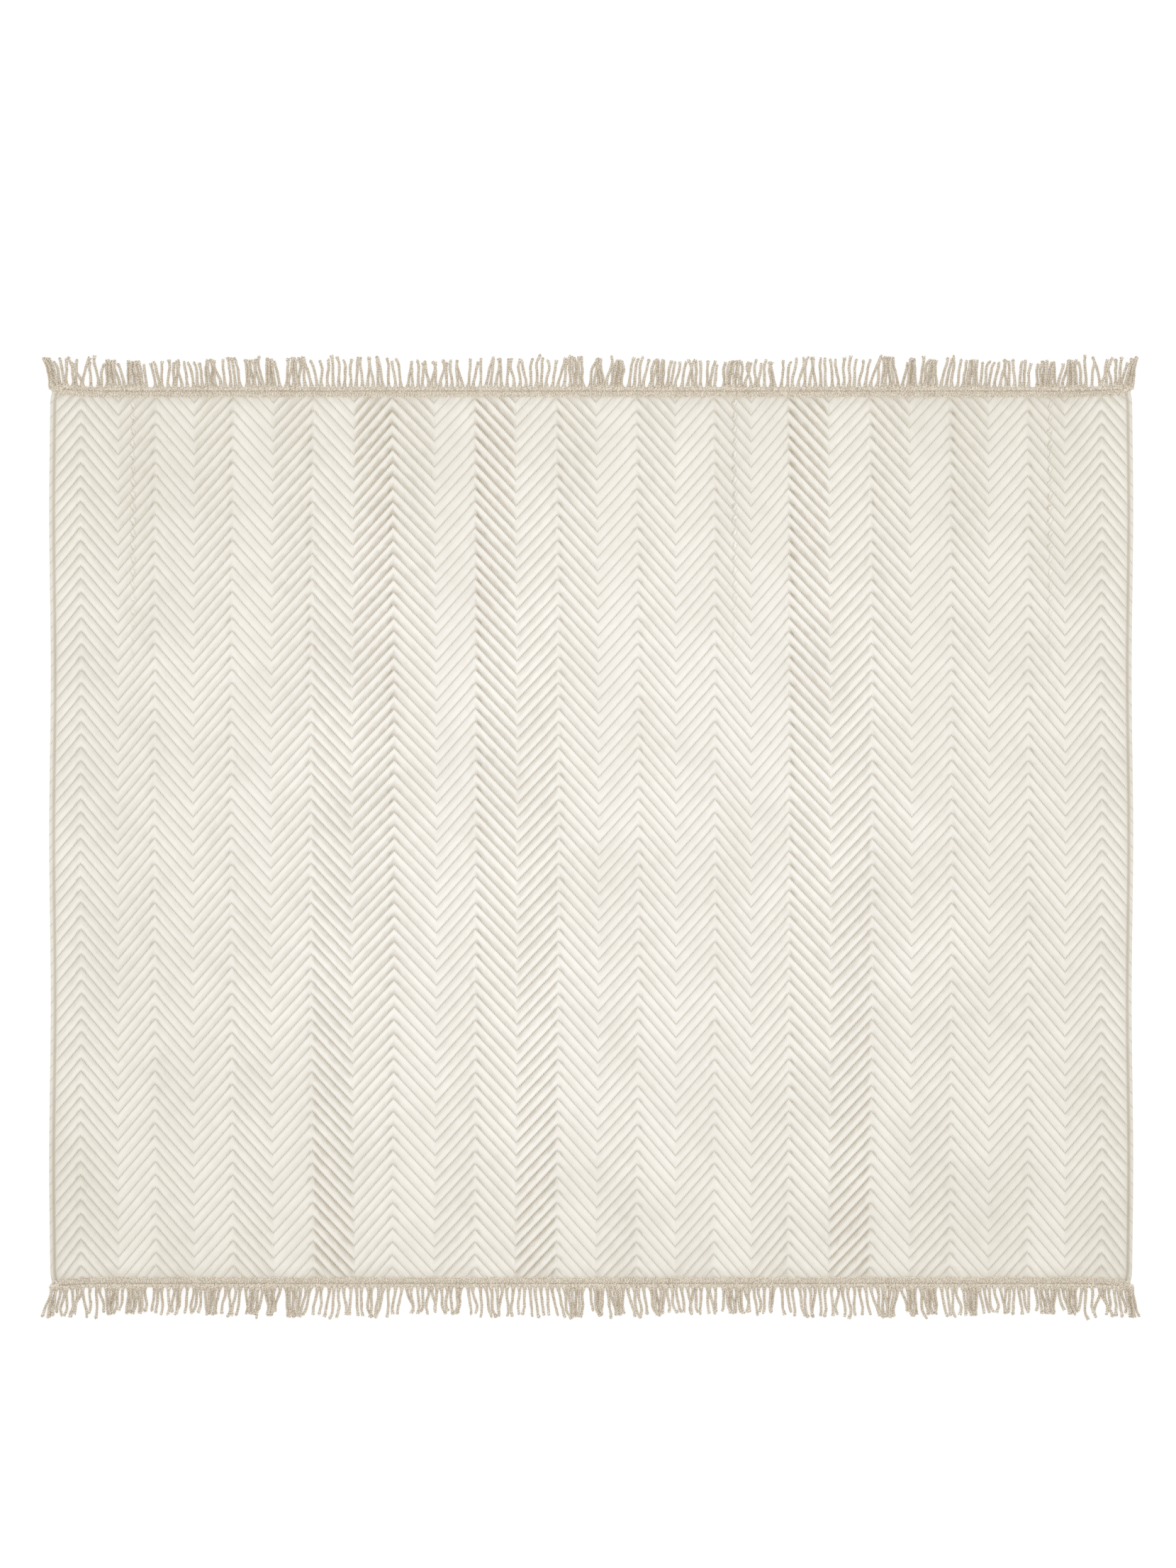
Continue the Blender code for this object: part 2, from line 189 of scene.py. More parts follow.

# Shade of the velvet, from 0, its own colour, to 1, the shade colour: mostly painted shade and light,
# with uneven darker patches. Three values in brackets say where something starts, where it is full, and how
# much it is there.
BARE_SHADE = 0.16
# Painted shade in the hem's groove and by the headings
CREASE_SHADE = 0.52
# Uneven darker patches: mottles, fibres and clouds
MOTTLE_SHADE = 0.22
PILE_FIBRE_SHADE = 0.16
CLOUD_SHADE = (0.35, 0.70, 0.08)
# Painted shade towards both fringed ends
END_SHADE = (0.35, 0.63, 0.030)
# Painted shade and light by lean: half columns whose painted shade falls towards the row below are darker
# towards the far end and lighter towards the near end, the others the other way round
LEAN_SIDES = (-0.15, 0.15, 2.0)
LEAN_SHADE_AT_ENDS = 0.13

# Painted shade down one flank of each channel, painted light on its other flank, and painted shade beside
# the rows
FLANK_SHADE = 0.78
FLANK_SHADE_TO_PEAK = 0.30
FLANK_PATCH_LOW = 0.35
FLANK_PATCH_RANGE = 0.70
FACING_LIGHT = (0.62, 0.20, 0.20)
BESIDE_ROW_SHADE = (0.50, 1.0, 0.11)
NOTCH_STRAY = 0.80
NEAR_PART_SHIFT = (-0.10, -0.50, 0.09)

# Painted shade of small tucks beside the peaks of the rows: from where to where along a row and across a
# channel
TUCK_START = (0.80, 0.90)
TUCK_STOP = (0.99, 0.93)
TUCK_ACROSS = (0.66, 0.88)
TUCK_SHADE = 0.80
TUCK_GAP = 0.22

# Painted shade along the sewn strip and in its needle holes, and how much darker those are in full channels
SEWN_STRIP = (0.78, 0.90)
SEWN_SHADE = 0.06
HOLE = (0.30, 0.17)
HOLE_SHADE = 0.62
FULL_HOLE_SHADE = 0.28

# Painted shade and light of a pucker, in its reaches: shift of each line, then where it starts, where it is
# full and how dark it is; and the wedge between them
PUCKER_LINES = ((0.8, 1.2, 0.2, 1.0), (-1.9, 1.0, 0.2, 0.6), (-0.5, 1.0, 0.2, -0.35))
PUCKER_WEDGE = (1.5, 0.4)
WEDGE_SHADE = (0.55, 0.85, 0.5)
PUCKER_SHADE = (0.46, 0.24, 0.33)

# The darker, creamier tint towards the corners, painted shade where the light falls off: how fast it comes
# along X and Y, and its share
TINT_SPREAD = (1.15, 1.35, 0.0)
TINT_SHARE = (0.35, 1.15, 0.85)

# Shade of the yarn, of the thread and of the floor
HEATHER_SHADE = (0.42, 0.66, 0.95)
YARN_PATCH_SHADE = 0.35
CORD_TONE_SHADE = 0.16
CORD_LIGHT = 0.22
# Painted light on the heading and the cords' roots: the cords grow darker over the first fifth of their
# length
HEADING_PAINTED_LIGHT = (0.0, 0.2, 0.28)
TIP_LIGHT = (0.6, 1.0, 0.2)
# Painted shade in the grooves between the plies, by distance from a cord's middle line, and along the
# heading's seam
GROOVE_SHADE = (0.0019, 0.0011, 0.75)
SEAM_SHADE = 0.8
THREAD_SHADE = 0.72
THREAD_SHADE_SHARE = 0.6
FLOOR_SHADE = 0.985

# Lowest and highest roughness of the pile and the thread
PILE_ROUGHNESS = (0.82, 0.92)
THREAD_ROUGHNESS = (0.6, 0.8)

# Relief of the finishes
GATHER_HEIGHT = (0.25, 1.0, 0.0016)
BLOTCH_HEIGHT = 0.0006
PILE_HEIGHT = 0.00012
HEATHER_HEIGHT = 0.0005
FIBRE_HEIGHT = 0.00015

# Unevenness: patches in a metre, detail and roughness. Gathers and notches are patches on a
# place counted in stitches and rows, stretched as here from a start.
CLOUDS = (7.0, 3.0, 0.5)
MOTTLE = (42.0, 3.0, 0.6)
BLOTCHES = (95.0, 3.0, 0.6)
PILE = (1100.0, 2.0, 0.5)
PUCKER_STRAYS = (180.0, 2.0, 0.5)
GATHERS = (1.0, 2.0, 0.6)
GATHER_STRETCH = (0.65, 1.6, 0.0)
NOTCHES = (1.0, 3.0, 0.6)
NOTCH_STRETCH = (0.22, 1.9, 4.0)
THREAD_FIBRES = (1600.0, 2.0, 0.5)
HEATHER = (520.0, 3.0, 0.65)
YARN_PATCHES = (60.0, 2.0, 0.5)
YARN_FIBRES = (1500.0, 2.0, 0.5)
CORD_BENDS = (75.0, 1.0, 0.5)
PLY_BULGES = (160.0, 1.0, 0.5)
FLOOR_GRAIN = (3.0, 2.0, 0.5)

# How the channels' crests lean, and the detail and roughness of the wrinkles on them
CREST_SHIFT = 0.16
WRINKLES = (2.0, 0.55)

# Stitches: the place along one that it is turned towards, the height from which the cloth is
# felt for, and sides, rings and radius of one before it is stretched
STITCH_AIM = 0.6
FEELER = 0.05
SPINDLE = (3, 2, 0.5)

# Smallest and largest stitch or loop, as a share of its plain size
UNEVEN_SIZE = (0.85, 1.15)

# Heading
SEAM_Y = 0.6280
# How far the painted shade along the seam reaches, and how it spreads
SEAM_REACH = 0.0008
SEAM_SPREAD = 1.6
HEADING_INNER_Y = 0.6194
HEADING_END_INSET = 0.0065
HEADING_STEPS = 160
CORE_SECTION = (
    (0.6, 2.6), (0.8, 3.3), (2.6, 3.9), (6.0, 3.9), (7.6, 3.3), (8.6, 2.7), (9.6, 3.3),
    (11.4, 3.9), (13.2, 3.7), (14.0, 3.0), (14.0, 0.0), (10.5, 0.0), (10.5, 2.6),
)
CORE_STEPS = 48
CORE_END_STEPS = 6
CORE_END_STEP = 0.004

# Rows of yarn loops, across the heading, on its inner edge and past its seam: spacing in loop
# pitches, place outwards, a loop's start, middle and end in millimetres, turn and seed
LOOP_ROWS = (
    (1.0, 0.0, (-0.3, 3.7, -0.6), (3.0, 0.0, 2.6), (-0.3, -3.6, -0.8), 0.30, 0),
    (2.2, -3.6, (-1.5, 1.0, -0.6), (0.2, -2.6, 2.0), (1.5, 1.0, -0.6), 0.35, 1),
    (1.35, 6.3, (-1.7, -1.8, -0.8), (0.3, 0.2, 2.2), (1.9, 2.2, -1.2), 0.45, 6),
)
LOOP_STRAY_LOW = (-0.0004, -0.0005, -0.0004)
LOOP_STRAY_HIGH = (0.0004, 0.0005, 0.0005)
LOOP_SIDES = 4
LOOP_STEPS = 5

# Cords. The lay is mirrored at LAY_MIRROR_X and again at the middle of the throw.
LAY_MIRROR_X = -0.2202
CORD_ROOT_Y = 0.6292
CORD_ROOT_HEIGHT = 0.0036
CORD_LAY_HEIGHT = 0.0026
CORD_LAYER_HEIGHT = 0.0024
CORD_CROWDED_PITCH = 5.2
CORNER_ROOT_DROP = 0.0055
CORNER_ROOT_START = 0.742
CORNER_ROOT_FADE = 0.010
CORD_DROP_PART = 0.3
CORD_BEND_POWER = 1.3
CORD_HOOK_START = 0.7
CORD_POINTS = 9

# How far a cord's root, tip, reach, sway and hook may stray, in millimetres
CORD_STRAYS = (0.4, 0.8, 1.2, 1.8, 3.0)

# Where along a cord its root, tip and frayed end lie, and how its thickness changes there
ROOT_END = (0.04, 0.32)
ROOT_TAPER = (1.52, 0.93)
TIP_END = (0.95, 1.0)
TIP_TAPER = (1.0, 0.75)
FRAYED_END = (0.86, 1.0)
FRAY = 1.4
FRAY_SHUFFLE = 3.7
PLIES_APART = 0.9
PLY_SIDES = 5

# How strongly a cord bends along X, Y and Z, how thin its plies get between bulges and how
# much thicker in them, and how high a ply stays above the floor, in its own radii
BEND_AXES = (2.0, 2.0, 0.6)
BULGE_LOW = 0.7
BULGE_RANGE = 0.6
ABOVE_FLOOR = 1.1

# Single cords, read along one quarter of an edge: root, tip, and reach past the seam, in millimetres
SINGLE_CORDS = (
    (-746, -753.5, 39.5), (-741, -748, 46), (-737, -739, 44.5), (-730, -729, 37.5),
    (-723, -726, 43.5), (-717, -707, 47.5), (-715, -735, 47.5), (-704, -706, 41.5),
    (-694, -697.5, 51), (-691, -685.5, 39.5), (-657, -664.5, 39), (-626, -628, 39),
    (-614, -618, 38.5), (-594, -595, 43.5), (-588, -588, 41), (-567.5, -573, 41.5),
    (-513.5, -521.5, 44.5), (-507.5, -510, 49), (-499.5, -506.5, 46), (-492.5, -501, 46.5),
    (-462.5, -469.5, 49.5), (-437.5, -444.5, 40.5), (-401, -409.5, 49), (-393, -405, 46.5),
    (-369, -373, 45.5), (-362, -365.5, 50.5), (-354, -357.5, 47.5), (-347, -345.5, 43.5),
    (-339, -339, 44.5), (-331, -327, 46.5), (-322.5, -323.5, 46.5), (-298.5, -304, 47.5),
    (-275, -280, 42), (-267, -272, 44.5), (-243.5, -243.5, 43.5), (-236, -238, 39.5),
    (-229, -233, 43.5), (-224, -219, 41),
)

# Clumps of cords there: first root, last root, cords, first tip, last tip, and reach
CORD_CLUMPS = (
    (-760, -751, 4, -770, -760, 44), (-683, -664, 5, -680, -671.5, 43),
    (-652, -630, 6, -652, -635, 42), (-607, -603, 2, -614, -605, 42.5),
    (-584, -575.5, 2, -580.5, -584, 43), (-558.5, -546.5, 3, -565.5, -552.5, 41.5),
    (-542.5, -521.5, 5, -542, -531, 44), (-484.5, -466.5, 5, -485, -474.5, 43.5),
    (-456.5, -444.5, 4, -455.5, -449.5, 45.5), (-430.5, -409.5, 5, -424.5, -412, 47.5),
    (-385, -378, 2, -393, -382, 44.5), (-315, -307, 2, -311, -312, 46.5),
    (-291, -284, 2, -302, -287, 47), (-259, -252, 2, -251, -252, 41.5),
)

# Floor, and the camera straight above, over the middle of the picture
FLOOR_HALF_WIDTH = 6.0
FLOOR_DROP = 0.0004
VIEW_CENTRE = (-0.0045, 0.0748)
VIEW_DEPTH = 2.2076
SENSOR_WIDTH = 36.0
FAR_CLIP = 100.0


def measure(name, default, description, low=0.0, unit="LENGTH"):
    """A length, or a measure of another unit, that a user can change."""
    return bpy.props.FloatProperty(
        name=name, description=description, default=default, min=low, unit=unit)


def number(name, default, description, low, high):
    """A plain number that a user can change."""
    return bpy.props.FloatProperty(
        name=name, description=description, default=default, min=low, max=high)


def colour(name, default, description):
    """A colour that a user can change."""
    return bpy.props.FloatVectorProperty(
        name=name, description=description, default=default, min=0.0, max=1.0, subtype="COLOR")


class ThrowClothSettings(bpy.types.PropertyGroup):
    """Sizes and colours of the quilted cloth"""

    stitch_height: measure("Stitch height", 0.0036, "Height of the cloth where it is stitched through")
    channel_swell: measure("Channel swell", 0.0012, "Rise of the flattest channels above their stitching")
    full_swell: measure("Full swell", 0.0018, "Further rise of the fullest channels")
    flat_crown: number("Flat crown", 0.65, "Roundness of the flattest channels", 0.2, 2.0)
    full_crown: number("Full crown", 0.85, "Roundness of the fullest channels", 0.2, 2.0)
    lean: number("Lean", 0.8, "How far the full channels' crests sit off their middle", 0.0, 1.0)
    wrinkle_height: measure("Wrinkle height", 0.0007, "Unevenness of the channels' crowns")
    wrinkle_size: measure("Wrinkle size", 0.024, "Length of one wrinkle", 0.002)
    velvet_colour: colour("Velvet colour", (0.948, 0.922, 0.866), "Colour of the velvet on the crowns")
    # Painted shade towards the corners, where the light falls off, with a creamier cast
    corner_shade_tint: colour("Edge tint", (0.955, 0.948, 0.910), "Creamier tint towards the throw's corners")
    # The colour that painted shade and the uneven darker patches mix in
    shade_colour: colour("Shaded pile colour", (0.460, 0.405, 0.318), "Colour of pile that leans away")


class ThrowStitchSettings(bpy.types.PropertyGroup):
    """Sizes and colour of the row stitching"""

    length: measure("Length", 0.0019, "Length of the thread that shows in one stitch", 0.0005)
    thickness: measure("Thickness", 0.0015, "Width of the thread with the pile it gathers", 0.0001)
    thread_colour: colour("Thread colour", (0.90, 0.87, 0.80), "Colour of the sewing thread")


class ThrowFringeSettings(bpy.types.PropertyGroup):
    """Sizes and colours of the fringe"""

    ply_thickness: measure("Ply thickness", 0.0026, "Thickness of one of a cord's two plies", 0.0005)
    lay: measure("Lay", 0.0070, "Length of one full turn of the plies", 0.002)
    crookedness: measure("Crookedness", 0.0024, "How far a cord strays from its smooth line")
    loop_pitch: measure("Loop pitch", 0.0020, "Distance from one heading loop to the next", 0.001)
    loop_thickness: measure("Loop thickness", 0.0015, "Thickness of the yarn in the heading's loops", 0.0002)
    cord_colour: colour("Cord colour", (0.86, 0.795, 0.69), "Colour of the fringe's yarn")
    # The colour of the darker fibres, also mixed in as painted shade in the grooves and along the seam
    groove_colour: colour("Groove colour", (0.53, 0.445, 0.33), "Colour between the yarn's plies and fibres")


class ThrowStageSettings(bpy.types.PropertyGroup):
    """Floor, light and camera"""

    floor_colour: colour("Floor colour", (0.60, 0.60, 0.60), "Colour of the plain floor")
    camera_height: measure("Camera height", 6.0, "Height of the camera above the floor", 1.0)
    ambient: number("Ambient light", 0.80, "Strength of the light from all round", 0.0, 10.0)
    lamp_power: measure("Lamp power", 21.0, "Power of the soft lamp above the throw", unit="POWER")
    lamp_width: measure("Lamp width", 1.6, "Width of the soft lamp", 0.1)
    lamp_height: measure("Lamp height", 2.6, "Height of the soft lamp above the floor", 0.5)
    lamp_offset: measure("Lamp offset", 0.15, "How far the lamp stands towards the far side", -5.0)


def mix(low, high, part):
    return low + (high - low) * part


def smooth_step(value):
    """0 up to 0, 1 from 1 on, and smooth between them."""
    value = min(1.0, max(0.0, value))
    return value * value * (3.0 - 2.0 * value)


def table_value(table, x):
    """Straight-line reading of a table of x and value pairs."""
    for left, right in zip(table, table[1:]):
        if x <= right[0]:
            part = max(0.0, (x - left[0]) / (right[0] - left[0]))
            return mix(left[1], right[1], part)
    return table[-1][1]


def laid(x, y):
    """Where a point of the straight-cut throw comes to lie."""
    from_side = HALF_WIDTH - abs(x)
    soft = max(0.0, 1.0 - from_side / PULL_SOFT_REACH)
    pull = PULL_SOFT * soft * soft + PULL_SHARP * math.exp(-max(from_side, 0.0) / PULL_SHARP_REACH)
    pull *= smooth_step((abs(y) - PULL_FADE_START) / (PULL_FADE_END - PULL_FADE_START))
    from_waist = (HALF_DEPTH - abs(y) - WAIST_FROM_END) / WAIST_REACH_Y
    waist = WAIST_DEPTH * math.exp(-from_waist * from_waist)
    waist *= max(0.0, 1.0 - from_side / WAIST_REACH_X)
    wander = SIDE_WANDER * math.cos(2 * math.pi * y / SIDE_WANDER_WAVE)
    wander *= (abs(x) / HALF_WIDTH) ** SIDE_WANDER_POWER
    return x + math.copysign(1.0, x) * (wander - waist), y + math.copysign(pull, y)


def turn_line_x(line, y):
    """x of one line of turns at y. Line 0 and the last one are the cloth's sides."""
    if line == 0:
        return -HALF_WIDTH
    if line == HALF_COLUMNS:
        return HALF_WIDTH
    middle, end_shift = TURN_LINES[line - 1]
    return (middle + end_shift * (y / HALF_DEPTH) ** 2) * MM


def turn_line_drop(line):
    """How far a row lies below its peaks where it crosses a line of turns."""
    if line in (0, HALF_COLUMNS):
        return ROW_RISE * OUTER_WIDTH / INNER_WIDTH
    return 0.0 if line % 2 == 1 else ROW_RISE


def row_point(half_column, part, place):
    """Plan point at a share of a half column. place counts rows from the first one down."""
    drop = mix(turn_line_drop(half_column), turn_line_drop(half_column + 1), part)
    y = ROW_TOP - place * ROW_PITCH - drop
    x = mix(turn_line_x(half_column, y), turn_line_x(half_column + 1, y), part)
    wander = 0.0
    for share, wave, drift, start in ROW_WAVES:
        wander += share * math.sin(2 * math.pi * (x / wave + drift * place) + start)
    sag = ROW_SAG * smooth_step((ROW_SAG_START - y) / ROW_SAG_LENGTH)
    sag *= smooth_step((ROW_SAG_HALF_WIDTH - abs(x)) / ROW_SAG_SIDE_FADE)
    return x, y + ROW_WANDER * wander - sag


def stitches_in(half_column):
    """How many stitches one row has in a half column."""
    width = OUTER_WIDTH if half_column in (0, HALF_COLUMNS - 1) else INNER_WIDTH
    return round(width * math.hypot(1.0, ROW_RISE / INNER_WIDTH) / STITCH_LENGTH)


def column_fullness(half_column, y):
    """How full the channels of a half column stand at y."""
    kind = COLUMN_KINDS[COLUMN_ORDER[half_column]]
    table = [(-place, value) for place, value in zip(FULLNESS_PLACES, kind)]
    return table_value(table, -y)


def column_lean(half_column, y):
    """Fullness with the sign of the lean, positive where the painted flank shade falls towards the row
    below.
    """
    return column_fullness(half_column, y) * (1.0 if COLUMN_ORDER[half_column] % 2 else -1.0)


def shared(reading, half_column, part, y):
    """A half column's reading, shared with its neighbour's on their line of turns."""
    own = reading(half_column, y)
    if part == 0.0 and half_column > 0:
        return (own + reading(half_column - 1, y)) / 2
    return own


def pucker_strength(x, y):
    """How deep the narrow puckers are at a point, from 0 to 1."""
    total = 0.0
    for _, centre, far_y, near_y in PUCKERS:
        beside = (x - centre * MM) / PUCKER_REACH
        if abs(beside) < PUCKER_LIMIT and y < far_y * MM:
            along = smooth_step(1.0 - max(0.0, near_y * MM - y) / PUCKER_FADE)
            pulse = 0.5 + 0.5 * math.cos(2 * math.pi * y / PUCKER_PULSE)
            total += along * pulse * math.exp(-beside * beside / 2)
    return total


def fold_depth(x, y):
    """How far the soft folds and the narrow puckers lower the cloth."""
    total = 0.0
    for far_x, far_y, near_x, near_y, depth in SOFT_FOLDS:
        part = min(1.0, max(0.0, (far_y * MM - y) / ((far_y - near_y) * MM)))
        centre = mix(far_x, near_x, part) * MM
        beyond = max(y - far_y * MM, near_y * MM - y, 0.0)
        beside = smooth_step(1.0 - abs(x - centre) / SOFT_FOLD_REACH)
        total += depth * MM * beside * smooth_step(1.0 - beyond / ALONG_FADE)
    return total + PUCKER_DEPTH * pucker_strength(x, y)


def inner_parts(half_column):
    """The shares of an inner half column, closer together across a pucker."""
    parts = set(COLUMN_PARTS)
    for puckered, centre, _, _ in PUCKERS:
        if puckered == half_column:
            left, right = TURN_LINES[half_column - 1][0], TURN_LINES[half_column][0]
            middle = (centre - left) / (right - left)
            step = PUCKER_REACH / MM / (right - left)
            parts = {part for part in parts if abs(part - middle) >= STATION_GAP * step}
            parts |= {middle + offset * step for offset in PUCKER_STATIONS}
    return sorted(parts)


def column_stations():
    """Every plan column as a half column and the share of it, from side to side."""
    insets = [inset * MM / OUTER_WIDTH for inset in EDGE_INSETS]
    stations = [(0, part) for part in insets]
    for half_column in range(1, HALF_COLUMNS - 1):
        stations += [(half_column, part) for part in inner_parts(half_column)]
    last_parts = [0.0] + [1.0 - part for part in reversed(insets)]
    return stations + [(HALF_COLUMNS - 1, part) for part in last_parts]


def edge_values(x, y):
    """Height of the flat cloth, its share of quilting, and the painted shade in its hem's groove and by its
    headings.
    """
    inset, from_middle = HALF_WIDTH - abs(x), abs(y)
    hem = smooth_step((HEM_END - from_middle) / HEM_END_FADE)
    flat_height = mix(RIM_THICKNESS, table_value(HEM_SECTION, inset / MM) * MM, hem)
    quilted = smooth_step((inset - QUILT_EDGE_INSET) / QUILT_EDGE_FADE)
    quilted *= smooth_step((QUILT_END - from_middle) / QUILT_END_FADE)
    groove = inset - HEM_GROOVE_INSET
    groove /= HEM_GROOVE_REACH_IN if groove > 0.0 else HEM_GROOVE_REACH_OUT
    by_heading = BY_HEADING_SHADE * smooth_step((from_middle - BY_HEADING_START) / BY_HEADING_LENGTH)
    return flat_height, quilted, max(hem * math.exp(-groove * groove), by_heading)


def cloth_plan():
    """The flat cloth as a grid that follows the rows, with what the quilting and its painted shade need on
    its points.
    """
    stations = column_stations()
    places = [row + part for row in range(ROW_COUNT) for part in CHANNEL_PARTS] + [ROW_COUNT]
    bm = bmesh.new()
    bmesh.ops.create_grid(bm, x_segments=len(stations) - 1, y_segments=len(places) - 1, size=0.5)
    names = ("row_place", "stitch", "fullness", "lean", "peak", "flat_height", "quilted", "fold", "crease")
    layers = [bm.verts.layers.float.new(name) for name in names]
    stitched = [0]
    for half_column in range(HALF_COLUMNS):
        stitched.append(stitched[-1] + stitches_in(half_column))
    for vert in bm.verts:
        half_column, part = stations[round((vert.co.x + 0.5) * (len(stations) - 1))]
        place = places[round((0.5 - vert.co.y) * (len(places) - 1))]
        x, y = row_point(half_column, part, place)
        vert.co = (x, y, 0.0)
        flat_height, quilted, crease = edge_values(x, y)
        drop = mix(turn_line_drop(half_column), turn_line_drop(half_column + 1), part)
        values = (place, mix(stitched[half_column], stitched[half_column + 1], part),
                  shared(column_fullness, half_column, part, y),
                  shared(column_lean, half_column, part, y), 1.0 - drop / ROW_RISE,
                  flat_height, quilted, fold_depth(x, y) * quilted, crease)
        for layer, value in zip(layers, values):
            vert[layer] = value
    cut_ends(bm)
    return laid_object(bm, "quilted_velvet")


def cut_ends(bm):
    """Cuts a plan off square at both fringed ends."""
    for side in (-1.0, 1.0):
        bmesh.ops.bisect_plane(
            bm, geom=bm.verts[:] + bm.edges[:] + bm.faces[:], dist=1e-6,
            plane_co=(0.0, side * HALF_DEPTH, 0.0), plane_no=(0.0, side, 0.0), clear_outer=True)


def link_new(name, data):
    """A new object in the scene."""
    made = bpy.data.objects.new(name, data)
    bpy.context.scene.collection.objects.link(made)
    return made


def mesh_object(bm, name):
    """A new object with a finished mesh."""
    mesh = bpy.data.meshes.new(name)
    bm.to_mesh(mesh)
    bm.free()
    return link_new(name, mesh)


def laid_object(bm, name):
    """An object of a plan, laid as the throw lies."""
    for vert in bm.verts:
        vert.co.x, vert.co.y = laid(vert.co.x, vert.co.y)
    return mesh_object(bm, name)


def add_line(bm, points):
    """Adds points that edges join one after another."""
    verts = [bm.verts.new(point) for point in points]
    for pair in zip(verts, verts[1:]):
        bm.edges.new(pair)
    return verts


class Wire:
    """One output of a node. Sums, products and powers of it are further nodes."""

    def __init__(self, tree, socket):
        self.tree = tree
        self.socket = socket
        self.is_vector = socket.type in ("VECTOR", "RGBA")

    def maths(self, operation, *others, **settings):
        """A maths node on this output, of the kind for vectors where it is one."""
        kind = "ShaderNodeVectorMath" if self.is_vector else "ShaderNodeMath"
        return add_node(self.tree, kind, self, *others, operation=operation, **settings)

    def fraction(self):
        return self.maths("FRACT")

    def greatest(self, other, **settings):
        return self.maths("MAXIMUM", other, **settings)

    def __add__(self, other):
        return self.maths("ADD", other)

    def __sub__(self, other):
        return self.maths("SUBTRACT", other)

    def __rsub__(self, other):
        return add_node(self.tree, "ShaderNodeMath", other, self, operation="SUBTRACT")

    def __mul__(self, other):
        by_vector = isinstance(other, tuple) or isinstance(other, Wire) and other.is_vector
        return self.maths("SCALE" if self.is_vector and not by_vector else "MULTIPLY", other)

    def __truediv__(self, other):
        return self.maths("DIVIDE", other)

    def __rtruediv__(self, other):
        return add_node(self.tree, "ShaderNodeMath", other, self, operation="DIVIDE")

    def __pow__(self, other):
        return self.maths("POWER", other)

    def __abs__(self):
        return self.maths("ABSOLUTE")


def feed(socket, value):
    """Links a wire to an input, or sets the input's own value. None leaves the input alone."""
    if isinstance(value, Wire):
        value.tree.links.new(value.socket, socket)
    elif value is not None:
        socket.default_value = value


def add_node(tree, kind, *values, out=0, **settings):
    """A node with its settings. Its shown inputs are fed in order, and one output is returned."""
    made = tree.nodes.new(kind)
    for name, value in settings.items():
        setattr(made, name, value)
    for socket, value in zip([s for s in made.inputs if s.enabled], values):
        feed(socket, value)
    return Wire(tree, [s for s in made.outputs if s.enabled][out])


def blend_of(part, first, second):
    return add_node(part.tree, "ShaderNodeMix", part, first, second, data_type="FLOAT")


def ramp(value, start, full, most=1.0):
    """0 before start, the most beyond full, and smooth between them. start may be the greater."""
    return add_node(
        value.tree, "ShaderNodeMapRange", value, start, full, 0.0, most,
        interpolation_type="SMOOTHSTEP")


def noise(place, scale, detail, roughness, seed=None, out=0):
    """Unevenness about 0.5, or of three axes with out=1. A seed chooses another one."""
    if seed is None:
        return add_node(place.tree, "ShaderNodeTexNoise", place, scale, detail, roughness, out=out)
    return add_node(
        place.tree, "ShaderNodeTexNoise", place, seed, scale, detail, roughness, out=out,
        noise_dimensions="4D")


def point_at(tree, x, y, z):
    return add_node(tree, "ShaderNodeCombineXYZ", x, y, z)


def part_of(vector, axis):
    """x, y or z of a vector, by its number."""
    return add_node(vector.tree, "ShaderNodeSeparateXYZ", vector, out=axis)


def geometry_tree(name, sizes, wanted, *others):
    """A geometry tree, its way to add a node, and its inputs: wanted sizes, and others with a default."""
    tree = bpy.data.node_groups.new(name, "GeometryNodeTree")
    tree.is_modifier = True
    tree.interface.new_socket("Geometry", in_out="INPUT", socket_type="NodeSocketGeometry")
    listed = [sizes.bl_rna.properties[one] for one in wanted]
    inputs = [(one.name, "Float", one.default) for one in listed]
    for label, kind, default in (*inputs, *others, ("Material", "Material", None)):
        socket = tree.interface.new_socket(label, in_out="INPUT", socket_type="NodeSocket" + kind)
        if default is not None:
            socket.default_value = default
    tree.interface.new_socket("Geometry", in_out="OUTPUT", socket_type="NodeSocketGeometry")
    given = tree.nodes.new("NodeGroupInput").outputs
    given = {socket.name: Wire(tree, socket) for socket in given if socket.name}
    return tree, functools.partial(add_node, tree), given


def close_tree(geometry, material):
    """Ends a tree in plain, smooth faces with their material."""
    tree = geometry.tree
    real = add_node(tree, "GeometryNodeRealizeInstances", geometry)
    smooth = add_node(tree, "GeometryNodeSetShadeSmooth", real)
    finished = add_node(tree, "GeometryNodeSetMaterial", smooth, None, material)
    feed(tree.nodes.new("NodeGroupOutput").inputs[0], finished)
    return tree


def joined(pieces):
    """Several geometries as one."""
    both = add_node(pieces[0].tree, "GeometryNodeJoinGeometry")
    for piece in pieces:
        feed(both.socket.node.inputs[0], piece)
    return both


def grown(thing, tree, sizes, **others):
    """Runs a geometry tree on an object and keeps the result as its plain mesh."""
    modifier = thing.modifiers.new(tree.name, "NODES")
    modifier.node_group = tree
    chosen = {one.name: getattr(sizes, one.identifier) for one in sizes.bl_rna.properties}
    chosen.update(others)
    for item in tree.interface.items_tree:
        if item.in_out == "INPUT" and item.name in chosen:
            modifier[item.identifier] = chosen[item.name]
    graph = bpy.context.evaluated_depsgraph_get()
    mesh = bpy.data.meshes.new_from_object(
        thing.evaluated_get(graph), preserve_all_data_layers=True, depsgraph=graph)
    thing.modifiers.clear()
    thing.data = mesh
    mesh.name = thing.name
    return thing


